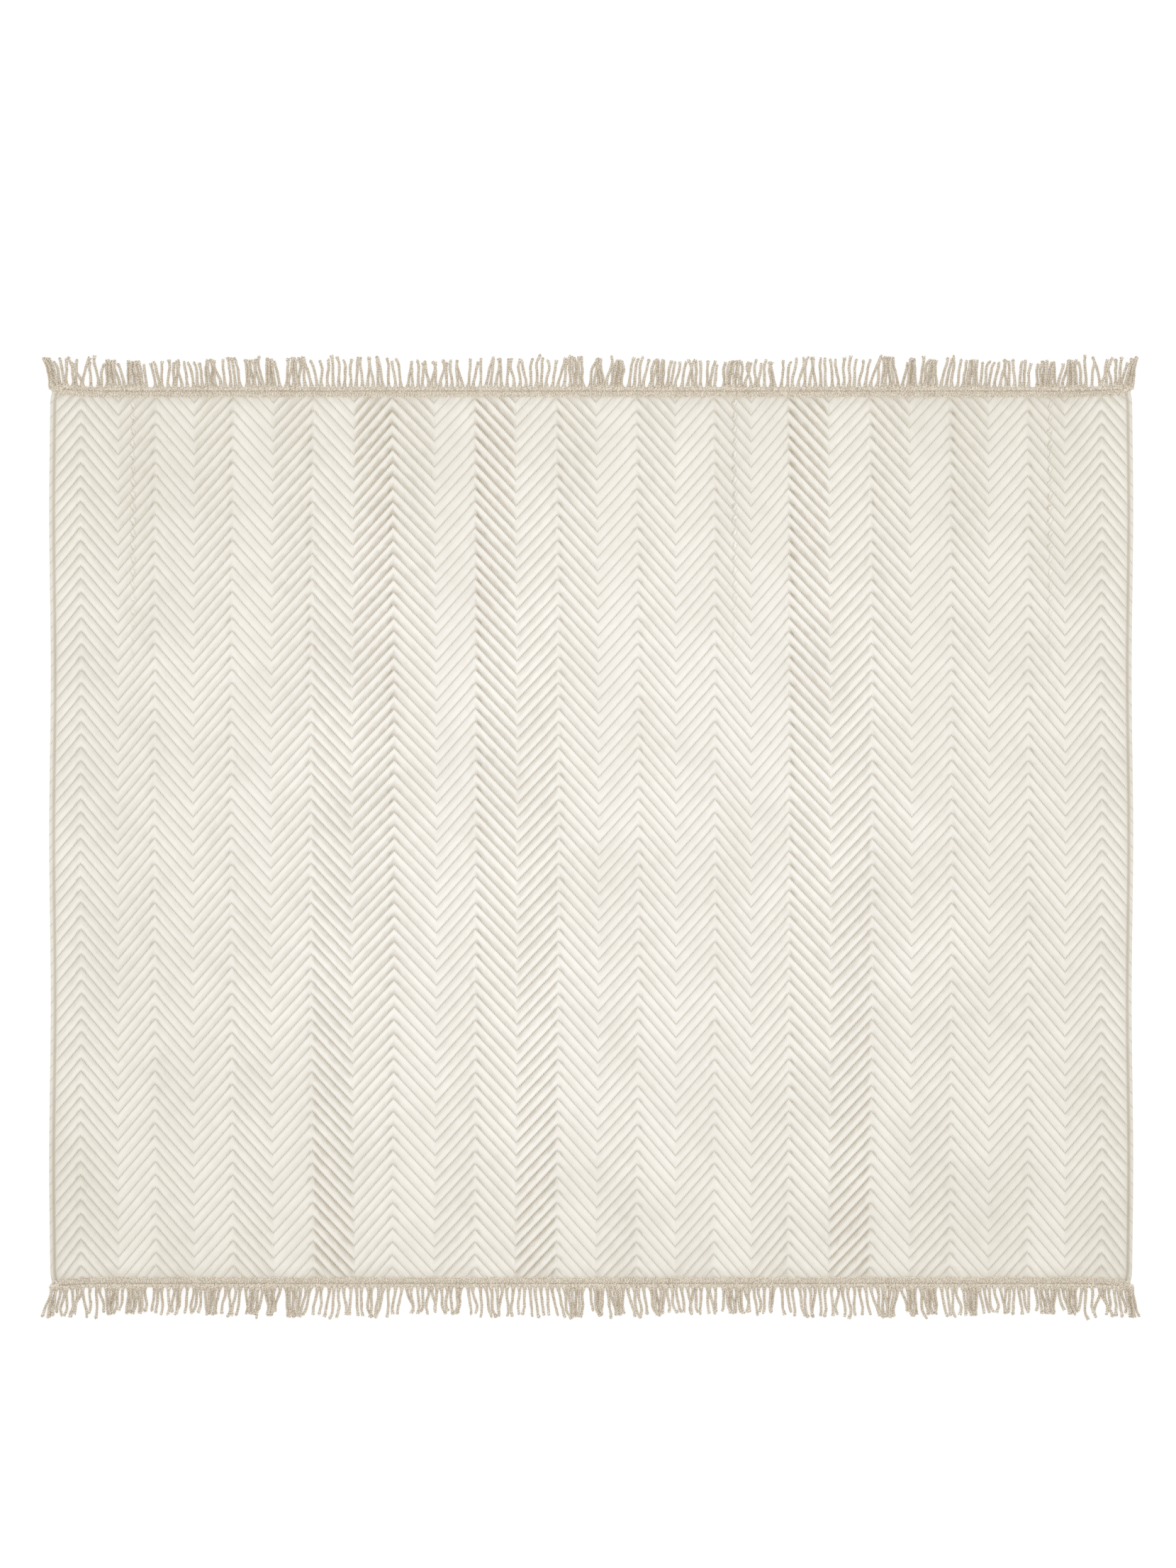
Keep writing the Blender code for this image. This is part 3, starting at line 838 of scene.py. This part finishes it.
def named_value(tree, name):
    """A value that the plan holds at each point."""
    return add_node(tree, "GeometryNodeInputNamedAttribute", name, data_type="FLOAT")


def random_between(tree, low, high, seed):
    kind = "FLOAT_VECTOR" if isinstance(low, tuple) else "FLOAT"
    return add_node(tree, "FunctionNodeRandomValue", low, high, None, seed, data_type=kind)


def quilting_tree(sizes):
    """Lifts the flat cloth into padded channels between its rows of stitching."""
    tree, node, given = geometry_tree("Quilted channels", sizes, (
        "stitch_height", "channel_swell", "full_swell", "flat_crown", "full_crown", "lean",
        "wrinkle_height", "wrinkle_size"), ("Seed", "Float", 3.0))
    full = named_value(tree, "fullness")
    flat_height = named_value(tree, "flat_height")
    across = named_value(tree, "row_place").fraction()
    swing = (across * math.tau).maths("SINE")
    leaned = across - swing * (named_value(tree, "lean") * given["Lean"]) * CREST_SHIFT
    arc = (leaned * math.pi).maths("SINE").greatest(0.0)
    crown = arc ** blend_of(full, given["Flat crown"], given["Full crown"])
    swell = full * given["Full swell"] + given["Channel swell"]
    place = node("GeometryNodeInputPosition")
    unevenness = noise(place, 1.0 / given["Wrinkle size"], *WRINKLES, given["Seed"]) * 2.0 - 1.0
    wrinkle = unevenness * given["Wrinkle height"] * crown
    rise = given["Stitch height"] - flat_height + crown * swell + wrinkle
    height = rise * named_value(tree, "quilted") + flat_height - named_value(tree, "fold")
    lift = point_at(tree, 0.0, 0.0, height)
    padded = node("GeometryNodeSetPosition", given["Geometry"], None, None, lift)
    return close_tree(padded, given["Material"])


def round_rim(bm):
    """The points of a mesh's open rim, in order round it."""
    bm.verts.index_update()
    beside = {}
    for edge in bm.edges:
        if edge.is_boundary:
            for vert in edge.verts:
                beside.setdefault(vert, []).append(edge.other_vert(vert))
    start = min(beside, key=lambda vert: vert.index)
    rim = [start, min(beside[start], key=lambda vert: vert.index)]
    while len(rim) < len(beside):
        rim.append(next(vert for vert in beside[rim[-1]] if vert != rim[-2]))
    return rim


def close_underside(thing):
    """Gives the cloth its plain flat underside, down from its rim."""
    bm = bmesh.new()
    bm.from_mesh(thing.data)
    rim = round_rim(bm)
    low = [bm.verts.new((vert.co.x, vert.co.y, 0.0), vert) for vert in rim]
    for index in range(len(rim)):
        bm.faces.new((rim[index - 1], rim[index], low[index], low[index - 1]))
    underside = bm.faces.new(low)
    underside.normal_update()
    bmesh.ops.triangulate(bm, faces=[underside])
    bmesh.ops.recalc_face_normals(bm, faces=bm.faces)
    bm.to_mesh(thing.data)
    bm.free()
    thing.data.shade_smooth()
    thing.data.set_sharp_from_angle(angle=math.radians(75))


def build_cloth(sizes):
    """The quilted velvet cloth, a closed sheet on its solid's folds."""
    cloth = grown(cloth_plan(), quilting_tree(sizes), sizes, Material=velvet_material(sizes))
    close_underside(cloth)
    dress(cloth, "velvet", "quilted_cloth")


def row_stitches(name, first, last):
    """A point for every stitch of the half columns from first to last, with its turn in plan."""
    bm = bmesh.new()
    turn = bm.verts.layers.float.new("turn")
    for row in range(ROW_COUNT + 1):
        for half_column in range(first, last):
            count = stitches_in(half_column)
            for index in range(count):
                x, y = row_point(half_column, (index + 0.5) / count, row)
                if abs(y) < QUILT_END - QUILT_END_FADE / 2:
                    ahead_x, ahead_y = laid(*row_point(half_column, (index + STITCH_AIM) / count, row))
                    x, y = laid(x, y)
                    point = bm.verts.new((x, y, 0.0))
                    point[turn] = math.atan2(ahead_y - y, ahead_x - x)
    return mesh_object(bm, name)


def stitching_tree(sizes):
    """Lays single stitches along the rows, on the cloth."""
    tree, node, given = geometry_tree(
        "Row stitches", sizes, ("length", "thickness"), ("Cloth", "Object", None),
        ("Lift", "Float", 0.0001), ("Seed", "Int", 5))
    above = node("GeometryNodeInputPosition") + (0.0, 0.0, FEELER)
    cloth = node("GeometryNodeObjectInfo", given["Cloth"], out=4)
    hit = node("GeometryNodeRaycast", cloth, None, above, (0.0, 0.0, -1.0), 2 * FEELER, out=1)
    points = node(
        "GeometryNodeSetPosition", given["Geometry"], None,
        hit + point_at(tree, 0.0, 0.0, given["Lift"]))
    spindle = node("GeometryNodeMeshUVSphere", *SPINDLE)
    turned = node(
        "FunctionNodeEulerToRotation", point_at(tree, 0.0, math.pi / 2, named_value(tree, "turn")))
    uneven = random_between(tree, *UNEVEN_SIZE, given["Seed"])
    size = point_at(tree, given["Thickness"], given["Thickness"], given["Length"] * uneven)
    sewn = node("GeometryNodeInstanceOnPoints", points, None, spindle, None, None, turned, size)
    return close_tree(sewn, given["Material"])


def build_stitching(sizes, cloth):
    """The quilting stitches, as one piece for each half of the throw."""
    tree = stitching_tree(sizes)
    thread = thread_material(sizes)
    middle = HALF_COLUMNS // 2
    for half, first, last in (("left", 0, middle), ("right", middle, HALF_COLUMNS)):
        stitches = row_stitches("row_stitching_" + half, first, last)
        dress(grown(stitches, tree, sizes, Cloth=cloth, Material=thread), "velvet")


def cord_lays():
    """Root x, tip x, reach and layer of every cord along one edge."""
    quarter = [(root * MM, tip * MM, reach * MM, 0) for root, tip, reach in SINGLE_CORDS]
    for first_root, last_root, count, first_tip, last_tip, reach in CORD_CLUMPS:
        crowded = abs(first_tip - last_tip) < CORD_CROWDED_PITCH * (count - 1)
        for index in range(count):
            part = index / (count - 1)
            root, tip = mix(first_root, last_root, part), mix(first_tip, last_tip, part)
            quarter.append((root * MM, tip * MM, reach * MM, index % 2 if crowded else 0))
    lays = [lay for lay in quarter if lay[0] < LAY_MIRROR_X]
    for root, tip, reach, layer in quarter:
        if 2 * LAY_MIRROR_X - root < -LAY_MIRROR_X:
            lays.append((2 * LAY_MIRROR_X - root, 2 * LAY_MIRROR_X - tip, reach, layer))
    lays += [(-root, -tip, reach, layer) for root, tip, reach, layer in quarter]
    return sorted(lays)


def cord_lines(name, side, seed):
    """The middle lines of one fringe's cords, as plain edges."""
    chance = random.Random(seed)
    bm = bmesh.new()
    shade = bm.verts.layers.float.new("shade")
    for root, tip, reach, layer in cord_lays():
        strays = [chance.uniform(-most, most) * MM for most in CORD_STRAYS]
        tone = chance.random()
        root += strays[0]
        tip += strays[1]
        reach += strays[2]
        sway, hook = strays[3:]
        root_y = laid(root, CORD_ROOT_Y)[1]
        tip_y = SEAM_Y + reach + (root_y - CORD_ROOT_Y) / 2
        root_y -= CORNER_ROOT_DROP * smooth_step((abs(root) - CORNER_ROOT_START) / CORNER_ROOT_FADE)
        points = []
        for index in range(CORD_POINTS):
            part = index / (CORD_POINTS - 1)
            down = smooth_step(part / CORD_DROP_PART)
            height = mix(CORD_ROOT_HEIGHT, CORD_LAY_HEIGHT + CORD_LAYER_HEIGHT * layer, down)
            x = mix(root, tip, part ** CORD_BEND_POWER) + sway * math.sin(2 * math.pi * part)
            x += hook * (max(0.0, part - CORD_HOOK_START) / (1.0 - CORD_HOOK_START)) ** 2
            points.append((x, side * mix(root_y, tip_y, part), height))
        for vert in add_line(bm, points):
            vert[shade] = tone
    return mesh_object(bm, name)


def cord_tree(sizes):
    """Twists two plies round each cord's line."""
    tree, node, given = geometry_tree(
        "Twisted cords", sizes, ("ply_thickness", "lay", "crookedness"), ("Step", "Float", 0.0013),
        ("Seed", "Float", 7.0))
    lines = node("GeometryNodeMeshToCurve", given["Geometry"])
    lines = node("GeometryNodeResampleCurve", lines, None, given["Step"], mode="LENGTH")
    lines = node("GeometryNodeSetCurveNormal", lines, mode="Z_UP")
    factor = node("GeometryNodeSplineParameter")
    along = node("GeometryNodeSplineParameter", out=1)
    place = node("GeometryNodeInputPosition")
    stray = (noise(place, *CORD_BENDS, given["Seed"], out=1) - (0.5, 0.5, 0.5)) * BEND_AXES
    lines = node(
        "GeometryNodeSetPosition", lines, None, None, stray * (given["Crookedness"] * factor))
    # Keeps the share along the cord, for its lighter tip and the painted light at its root, and its middle
    # line, for painted shade between the plies
    for name, value, kind in (("toward_tip", factor, "FLOAT"), ("core", place, "FLOAT_VECTOR")):
        lines = node(
            "GeometryNodeStoreNamedAttribute", lines, None, name, value, data_type=kind,
            domain="POINT")
    normal = node("GeometryNodeInputNormal")
    binormal = node("GeometryNodeInputTangent").maths("CROSS_PRODUCT", normal)
    start = named_value(tree, "shade") * math.tau
    angle = along * math.tau / given["Lay"] + start
    taper = blend_of(ramp(factor, *ROOT_END), *ROOT_TAPER)
    taper = taper * (noise(place, *PLY_BULGES, given["Seed"]) * BULGE_RANGE + BULGE_LOW)
    taper = taper * blend_of(ramp(factor, *TIP_END), *TIP_TAPER)
    radius = given["Ply thickness"] * 0.5 * taper
    profile = node("GeometryNodeCurvePrimitiveCircle", PLY_SIDES, 1.0)
    frayed = ramp(factor, *FRAYED_END) * (start * FRAY_SHUFFLE).fraction()
    apart = radius * (frayed * FRAY + PLIES_APART)
    plies = []
    for phase in (0.0, math.pi):
        ply_angle = angle + phase
        beside = normal * ply_angle.maths("COSINE") + binormal * ply_angle.maths("SINE")
        moved = place + beside * apart
        on_floor = part_of(moved, 2).greatest(radius * ABOVE_FLOOR)
        moved = point_at(tree, part_of(moved, 0), part_of(moved, 1), on_floor)
        ply = node("GeometryNodeSetPosition", lines, None, moved)
        plies.append(node("GeometryNodeCurveToMesh", ply, profile, radius, True))
    return close_tree(joined(plies), given["Material"])


def heading_line(name, side):
    """The middle line of one heading's band of loops."""
    bm = bmesh.new()
    limit = HALF_WIDTH - HEADING_END_INSET
    y = side * (HEADING_INNER_Y + SEAM_Y) / 2
    steps = [index / HEADING_STEPS for index in range(HEADING_STEPS + 1)]
    add_line(bm, [(mix(-limit, limit, step), y, 0.0) for step in steps])
    return laid_object(bm, name)


def heading_tree(sizes):
    """Three rows of yarn loops along a heading."""
    tree, node, given = geometry_tree(
        "Heading loops", sizes, ("loop_pitch", "loop_thickness"), ("Outward", "Float", 1.0),
        ("Height", "Float", 0.0041), ("Seed", "Int", 11))
    line = node("GeometryNodeMeshToCurve", given["Geometry"])
    ahead = node(
        "FunctionNodeAlignRotationToVector", None, None, node("GeometryNodeInputTangent"), axis="X",
        pivot_axis="Z")
    yarn = node("GeometryNodeCurvePrimitiveCircle", LOOP_SIDES, given["Loop thickness"] * 0.5)
    rows = []
    for spacing, out_shift, *loop_points, turn, seed in LOOP_ROWS:
        points = node(
            "GeometryNodeResampleCurve", line, None, given["Loop pitch"] * spacing, mode="LENGTH")
        bends = [point_at(tree, x * MM, given["Outward"] * (y * MM), z * MM) for x, y, z in loop_points]
        loop = node("GeometryNodeCurveQuadraticBezier", LOOP_STEPS, *bends)
        loop = node("GeometryNodeCurveToMesh", loop, yarn, 1.0, True)
        offset = random_between(tree, LOOP_STRAY_LOW, LOOP_STRAY_HIGH, given["Seed"] + seed)
        shift = given["Outward"] * (out_shift * MM)
        offset = offset + point_at(tree, 0.0, shift, given["Height"])
        points = node("GeometryNodeSetPosition", points, None, None, offset)
        spin = random_between(tree, (0.0, -turn, -turn), (0.0, turn, turn), given["Seed"] + (seed + 2))
        spin = node("FunctionNodeEulerToRotation", spin)
        spin = node("FunctionNodeRotateRotation", ahead, spin, rotation_space="LOCAL")
        size = random_between(tree, *UNEVEN_SIZE, given["Seed"] + (seed + 4))
        rows.append(node(
            "GeometryNodeInstanceOnPoints", points, None, loop, None, None, spin, size))
    return close_tree(joined(rows), given["Material"])


def heading_core(side):
    """The strip that carries one heading's loops, an L-section lofted along the cloth's end."""
    limit = HALF_WIDTH - HEADING_END_INSET
    ends = [-limit + step * step * CORE_END_STEP for step in range(CORE_END_STEPS)]
    columns = [mix(ends[-1], -ends[-1], index / CORE_STEPS) for index in range(1, CORE_STEPS)]
    columns = ends + columns + [-x for x in reversed(ends)]
    bm = bmesh.new()
    seam = bm.verts.layers.float.new("seam")
    rings = []
    for x in columns:
        rings.append([bm.verts.new((x, HEADING_INNER_Y + y * MM, z * MM)) for y, z in CORE_SECTION])
    # Painted shade along the seam, kept on the strip's points for the yarn
    for vert in bm.verts:
        vert[seam] = smooth_step(SEAM_SPREAD - abs(vert.co.y - SEAM_Y) / SEAM_REACH)
    for ring, following in zip(rings, rings[1:]):
        for index in range(len(ring)):
            ahead = (index + 1) % len(ring)
            bm.faces.new((ring[index], ring[ahead], following[ahead], following[index]))
    bm.faces.new(rings[0])
    bm.faces.new(rings[-1])
    for vert in bm.verts:
        vert.co.x, vert.co.y = laid(vert.co.x, vert.co.y)
        vert.co.y *= side
    bmesh.ops.recalc_face_normals(bm, faces=bm.faces)
    return bm


def build_fringe(sizes, place, side, seed):
    """One fringe: the heading that is sewn over the cloth's edge, and its twisted cords."""
    yarn = cord_material(sizes)
    heading = grown(
        heading_line(place + "_heading", side), heading_tree(sizes), sizes, Outward=side,
        Seed=11 + seed, Material=yarn)
    core = heading_core(side)
    core.from_mesh(heading.data)
    for face in core.faces:
        face.material_index = 0
    core.to_mesh(heading.data)
    core.free()
    heading.data.materials.clear()
    heading.data.materials.append(yarn)
    heading.data.shade_smooth()
    heading.data.set_sharp_from_angle(angle=math.radians(60))
    cords = grown(
        cord_lines(place + "_cords", side, seed), cord_tree(sizes), sizes, Seed=7.0 + seed,
        Material=yarn)
    for piece in (heading, cords):
        dress(piece, "cord", "fringe_" + place)
    return [heading, cords]


def new_material(name):
    """A material, its shader and its Object coordinates."""
    made = bpy.data.materials.new(name)
    made.use_nodes = True
    tree = made.node_tree
    return made, tree.nodes["Principled BSDF"], add_node(tree, "ShaderNodeTexCoord", out=3)


def painted(place, name, out=2):
    """A value that the piece holds at each point, or a vector with out=1."""
    return add_node(place.tree, "ShaderNodeAttribute", out=out, attribute_name=name)


def colour_mix(part, first, second, blend="MIX"):
    """Mixes two colours, each a wire or a plain colour, or with MULTIPLY tints the first one."""
    pair = [one if isinstance(one, Wire) else (*one, 1.0) for one in (first, second)]
    return add_node(part.tree, "ShaderNodeMix", part, *pair, data_type="RGBA", blend_type=blend)


def curved(value, points):
    """Reads the curve through the points."""
    reading = add_node(value.tree, "ShaderNodeFloatCurve", None, value)
    mapping = reading.socket.node.mapping
    line = mapping.curves[0]
    line.points[0].location = points[0]
    line.points[1].location = points[-1]
    for point in points[1:-1]:
        line.points.new(*point)
    for point in line.points:
        point.handle_type = "AUTO_CLAMPED"
    mapping.update()
    return reading


def finish(shader, looks, height=None):
    """Feeds a shader's inputs by their names, and bumps the surface by a height."""
    if height is not None:
        looks["Normal"] = add_node(height.tree, "ShaderNodeBump", 1.0, 1.0, None, height)
    for name, value in looks.items():
        feed(shader.inputs[name], value)


def painted_pucker_shade(place, across):
    """Short slanted marks in each channel: painted shade on one side of a pucker, painted light on the
    other.
    """
    y = part_of(place, 1)
    x = part_of(place, 0) + (noise(place, *PUCKER_STRAYS) - 0.5) * (2 * PUCKER_STRAY)
    total = None
    for half_column, centre, far_y, near_y in PUCKERS:
        slant = PUCKER_SLANT if half_column % 2 else -PUCKER_SLANT
        beside = (x + (across - 0.5) * slant - centre * MM) / PUCKER_REACH
        mark = ramp(abs(beside), *PUCKER_WEDGE) * ramp(across, *WEDGE_SHADE)
        for shift, *line in PUCKER_LINES:
            mark = mark + ramp(abs(beside + shift), *line)
        mark = mark * ramp(y, near_y * MM - PUCKER_FADE / 2, far_y * MM - PUCKER_FADE / 2)
        total = mark if total is None else total + mark
    return total * ramp(abs(across - 0.5), *PUCKER_SHADE)


def painted_flank_shade(across, from_row, lean, peak, notch, blotch, y):
    """Painted shade down one flank of a channel and beside its rows, and painted light on the other flank.
    """
    strength = abs(lean)
    toward = blend_of(lean.maths("GREATER_THAN", 0.0), 1.0 - across, across)
    stray = (notch - 0.5) * NOTCH_STRAY - ramp(y, *NEAR_PART_SHIFT)
    flank = curved(stray * (1.0 - from_row * from_row) + toward, PAINTED_FLANK_SHADE) * strength
    flank = flank * (peak * FLANK_SHADE_TO_PEAK + FLANK_SHADE)
    flank = flank * (blotch * FLANK_PATCH_RANGE + FLANK_PATCH_LOW)
    flank = flank.greatest(ramp(from_row, *BESIDE_ROW_SHADE))
    return flank - ramp(toward, *FACING_LIGHT) * strength


def painted_tuck_shade(across, peak, notch):
    """Painted shade of small tucks beside the rows' peaks."""
    tuck = ramp(peak, *TUCK_START) * ramp(peak, *TUCK_STOP) * ramp(across, *TUCK_ACROSS)
    return tuck * (notch * TUCK_SHADE - TUCK_GAP)


def painted_hole_shade(stitch, from_row, strength):
    """Painted shade in the dips between one stitch and the next, and along the sewn strip."""
    from_stitch = abs((stitch + 0.5).fraction() - 0.5)
    hole = ramp(from_stitch, *HOLE) * (strength * FULL_HOLE_SHADE + HOLE_SHADE)
    return ramp(from_row, *SEWN_STRIP) * (hole + SEWN_SHADE)


def velvet_material(sizes):
    """Short cream pile, with painted shade down one flank of each channel and along the stitching, and
    painted light on the other flank.
    """
    made, shader, place = new_material("quilted_velvet")
    row_place, stitch, lean, peak, quilted, crease = (
        painted(place, name) for name in ("row_place", "stitch", "lean", "peak", "quilted", "crease"))
    y = part_of(place, 1)
    across = row_place.fraction()
    from_row = abs(across * 2.0 - 1.0)
    clouds, mottle, blotch, pile = (noise(place, *kind) for kind in (CLOUDS, MOTTLE, BLOTCHES, PILE))
    counted = point_at(place.tree, stitch, row_place, 1.0)
    gather = noise(counted * GATHER_STRETCH, *GATHERS)
    notch = noise(counted * NOTCH_STRETCH, *NOTCHES)
    # Painted shade and light down the flanks, in the tucks, the hem's groove, by the headings and at the
    # puckers
    shade = painted_flank_shade(across, from_row, lean, peak, notch, blotch, y)
    shade = (shade + painted_tuck_shade(across, peak, notch)) * quilted
    shade = shade + crease * CREASE_SHADE + painted_pucker_shade(place, across)
    # Uneven darker patches in clouds, mottles and fibres
    shade = shade + ramp(clouds, *CLOUD_SHADE)
    shade = shade + (mottle - 0.5) * MOTTLE_SHADE + (pile - 0.5) * PILE_FIBRE_SHADE
    # Painted shade and light by lean towards the ends, and painted shade towards both ends
    shade = shade + (ramp(lean, *LEAN_SIDES) - 1.0) * y ** 3.0 * LEAN_SHADE_AT_ENDS
    shade = shade + ramp(abs(y), *END_SHADE) + BARE_SHADE
    # Painted shade in the needle holes and along the sewn strip
    shade = shade.greatest(painted_hole_shade(stitch, from_row, abs(lean)), use_clamp=True)
    velvet = colour_mix(shade, sizes.velvet_colour, sizes.shade_colour)
    # Painted shade, creamier, towards the corners where the light falls off
    tint = ramp((place * TINT_SPREAD).maths("LENGTH"), *TINT_SHARE)
    velvet = colour_mix(tint, velvet, sizes.corner_shade_tint, blend="MULTIPLY")
    gathered = (gather - 0.5) * ramp(from_row, *GATHER_HEIGHT) * quilted
    finish(shader, {
        "Base Color": velvet, "Roughness": blend_of(pile, *PILE_ROUGHNESS), "Specular IOR Level": 0.25,
        "Sheen Weight": 0.30, "Sheen Roughness": 0.45, "Sheen Tint": (1.0, 0.97, 0.92, 1.0),
    }, gathered + pile * PILE_HEIGHT + blotch * BLOTCH_HEIGHT)
    return made


def thread_material(sizes):
    """Fine matt sewing thread."""
    made, shader, place = new_material("row_thread")
    fibre = noise(place, *THREAD_FIBRES)
    dark = tuple(channel * THREAD_SHADE for channel in sizes.thread_colour)
    finish(shader, {
        "Base Color": colour_mix(fibre * THREAD_SHADE_SHARE, sizes.thread_colour, dark),
        "Roughness": blend_of(fibre, *THREAD_ROUGHNESS), "Specular IOR Level": 0.3})
    return made


def cord_material(sizes):
    """Heathered, fuzzy fringe yarn with darker fibres, painted shade in its grooves and along the heading's
    seam, and painted light on the heading.
    """
    made, shader, place = new_material("fringe_yarn")
    heather, patch, fibre = (
        noise(place, *kind) for kind in (HEATHER, YARN_PATCHES, YARN_FIBRES))
    tone, tip, seam = (painted(place, name) for name in ("shade", "toward_tip", "seam"))
    from_core = (place - painted(place, "core", out=1)).maths("LENGTH")
    dark = ramp(heather, *HEATHER_SHADE) + patch * YARN_PATCH_SHADE + tone * CORD_TONE_SHADE
    # Painted light on the heading and the cords' roots, and lighter tips
    dark = dark + ramp(tip, *HEADING_PAINTED_LIGHT) - ramp(tip, *TIP_LIGHT) - CORD_LIGHT
    # Painted shade between the plies and along the seam
    dark = dark.greatest(ramp(from_core, *GROOVE_SHADE))
    dark = dark.greatest(seam * SEAM_SHADE, use_clamp=True)
    finish(shader, {
        "Base Color": colour_mix(dark, sizes.cord_colour, sizes.groove_colour),
        "Roughness": 0.85, "Specular IOR Level": 0.2, "Sheen Weight": 0.20, "Sheen Roughness": 0.5,
    }, heather * HEATHER_HEIGHT + fibre * FIBRE_HEIGHT)
    return made


def floor_material(colour):
    """Plain, pale, matt floor."""
    made, shader, place = new_material("pale_floor")
    darker = tuple(channel * FLOOR_SHADE for channel in colour)
    finish(shader, {
        "Base Color": colour_mix(noise(place, *FLOOR_GRAIN), colour, darker), "Roughness": 0.9,
        "Specular IOR Level": 0.1, "Emission Color": (1.0, 1.0, 1.0, 1.0), "Emission Strength": 0.48})
    return made


def dress(piece, slot, *nodes):
    """Fixes a finished piece to the throw's body and hides the solids that it stands for."""
    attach(piece, "root")
    if nodes:
        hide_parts(*nodes)


def build_stage(sizes):
    """Pale floor, one soft lamp and light from all round, and the camera straight above."""
    bm = bmesh.new()
    bmesh.ops.create_grid(bm, x_segments=1, y_segments=1, size=FLOOR_HALF_WIDTH)
    floor = mesh_object(bm, "pale_floor")
    floor.location.z = -FLOOR_DROP
    floor.data.materials.append(floor_material(sizes.floor_colour))

    world = bpy.data.worlds.new("soft_room")
    world.use_nodes = True
    background = world.node_tree.nodes["Background"]
    background.inputs["Color"].default_value = (1.0, 1.0, 1.0, 1.0)
    background.inputs["Strength"].default_value = sizes.ambient
    bpy.context.scene.world = world

    lamp = bpy.data.lights.new("soft_box", "AREA")
    lamp.shape = "DISK"
    lamp.size = sizes.lamp_width
    lamp.energy = sizes.lamp_power
    link_new("soft_box", lamp).location = (0.0, sizes.lamp_offset, sizes.lamp_height)

    camera = bpy.data.cameras.new("camera")
    camera.sensor_width = SENSOR_WIDTH
    camera.lens = SENSOR_WIDTH * sizes.camera_height / VIEW_DEPTH
    camera.clip_end = FAR_CLIP
    camera_object = link_new("camera", camera)
    camera_object.location = (*VIEW_CENTRE, sizes.camera_height)
    bpy.context.scene.camera = camera_object
    bpy.context.scene.view_settings.view_transform = "Standard"


class VELVET_THROW_OT_quilted_cloth(bpy.types.Operator):
    """Make the quilted velvet cloth"""

    bl_idname = "velvet_throw.quilted_cloth"
    bl_label = "Quilted cloth"

    def execute(self, context):
        build_cloth(context.scene.throw_cloth)
        return {"FINISHED"}


class VELVET_THROW_OT_row_stitching(bpy.types.Operator):
    """Sew the quilting stitches along the rows of the cloth"""

    bl_idname = "velvet_throw.row_stitching"
    bl_label = "Row stitching"

    def execute(self, context):
        build_stitching(context.scene.throw_stitches, bpy.data.objects["quilted_velvet"])
        return {"FINISHED"}


class VELVET_THROW_OT_fringes(bpy.types.Operator):
    bl_idname = "velvet_throw.fringes"
    bl_label = "Fringes"

    def execute(self, context):
        sizes = context.scene.throw_fringe
        trims = build_fringe(sizes, "far", 1.0, 21) + build_fringe(sizes, "near", -1.0, 22)
        stitching = [bpy.data.objects["row_stitching_" + half] for half in ("left", "right")]
        stitching + trims
        return {"FINISHED"}


class VELVET_THROW_OT_stage(bpy.types.Operator):
    """Set the floor, the light and the camera"""

    bl_idname = "velvet_throw.stage"
    bl_label = "Stage"

    def execute(self, context):
        build_stage(context.scene.throw_stage)
        return {"FINISHED"}


class VIEW3D_PT_velvet_throw(bpy.types.Panel):
    """The throw's pieces and their sizes"""

    bl_label = "Quilted throw"
    bl_space_type = "VIEW_3D"
    bl_region_type = "UI"
    bl_category = "Throw"

    def draw(self, context):
        for operator, settings in PANEL_ROWS:
            box = self.layout.box()
            box.operator(operator.bl_idname)
            group = getattr(context.scene, settings)
            for name in group.bl_rna.properties.keys():
                if name not in ("rna_type", "name"):
                    box.prop(group, name)


PANEL_ROWS = (
    (VELVET_THROW_OT_quilted_cloth, "throw_cloth"),
    (VELVET_THROW_OT_row_stitching, "throw_stitches"),
    (VELVET_THROW_OT_fringes, "throw_fringe"),
    (VELVET_THROW_OT_stage, "throw_stage"),
)
SETTINGS = {
    "throw_cloth": ThrowClothSettings, "throw_stitches": ThrowStitchSettings,
    "throw_fringe": ThrowFringeSettings, "throw_stage": ThrowStageSettings,
}
CLASSES = (*SETTINGS.values(), *(operator for operator, _ in PANEL_ROWS), VIEW3D_PT_velvet_throw)


def register():
    for one in CLASSES:
        bpy.utils.register_class(one)
    for name, settings in SETTINGS.items():
        setattr(bpy.types.Scene, name, bpy.props.PointerProperty(type=settings))


def unregister():
    for name in SETTINGS:
        delattr(bpy.types.Scene, name)
    for one in reversed(CLASSES):
        bpy.utils.unregister_class(one)


def main():
    register()
    bpy.ops.velvet_throw.stage()
    bpy.ops.velvet_throw.quilted_cloth()
    bpy.ops.velvet_throw.row_stitching()
    bpy.ops.velvet_throw.fringes()


if __name__ == "__main__":
    main()
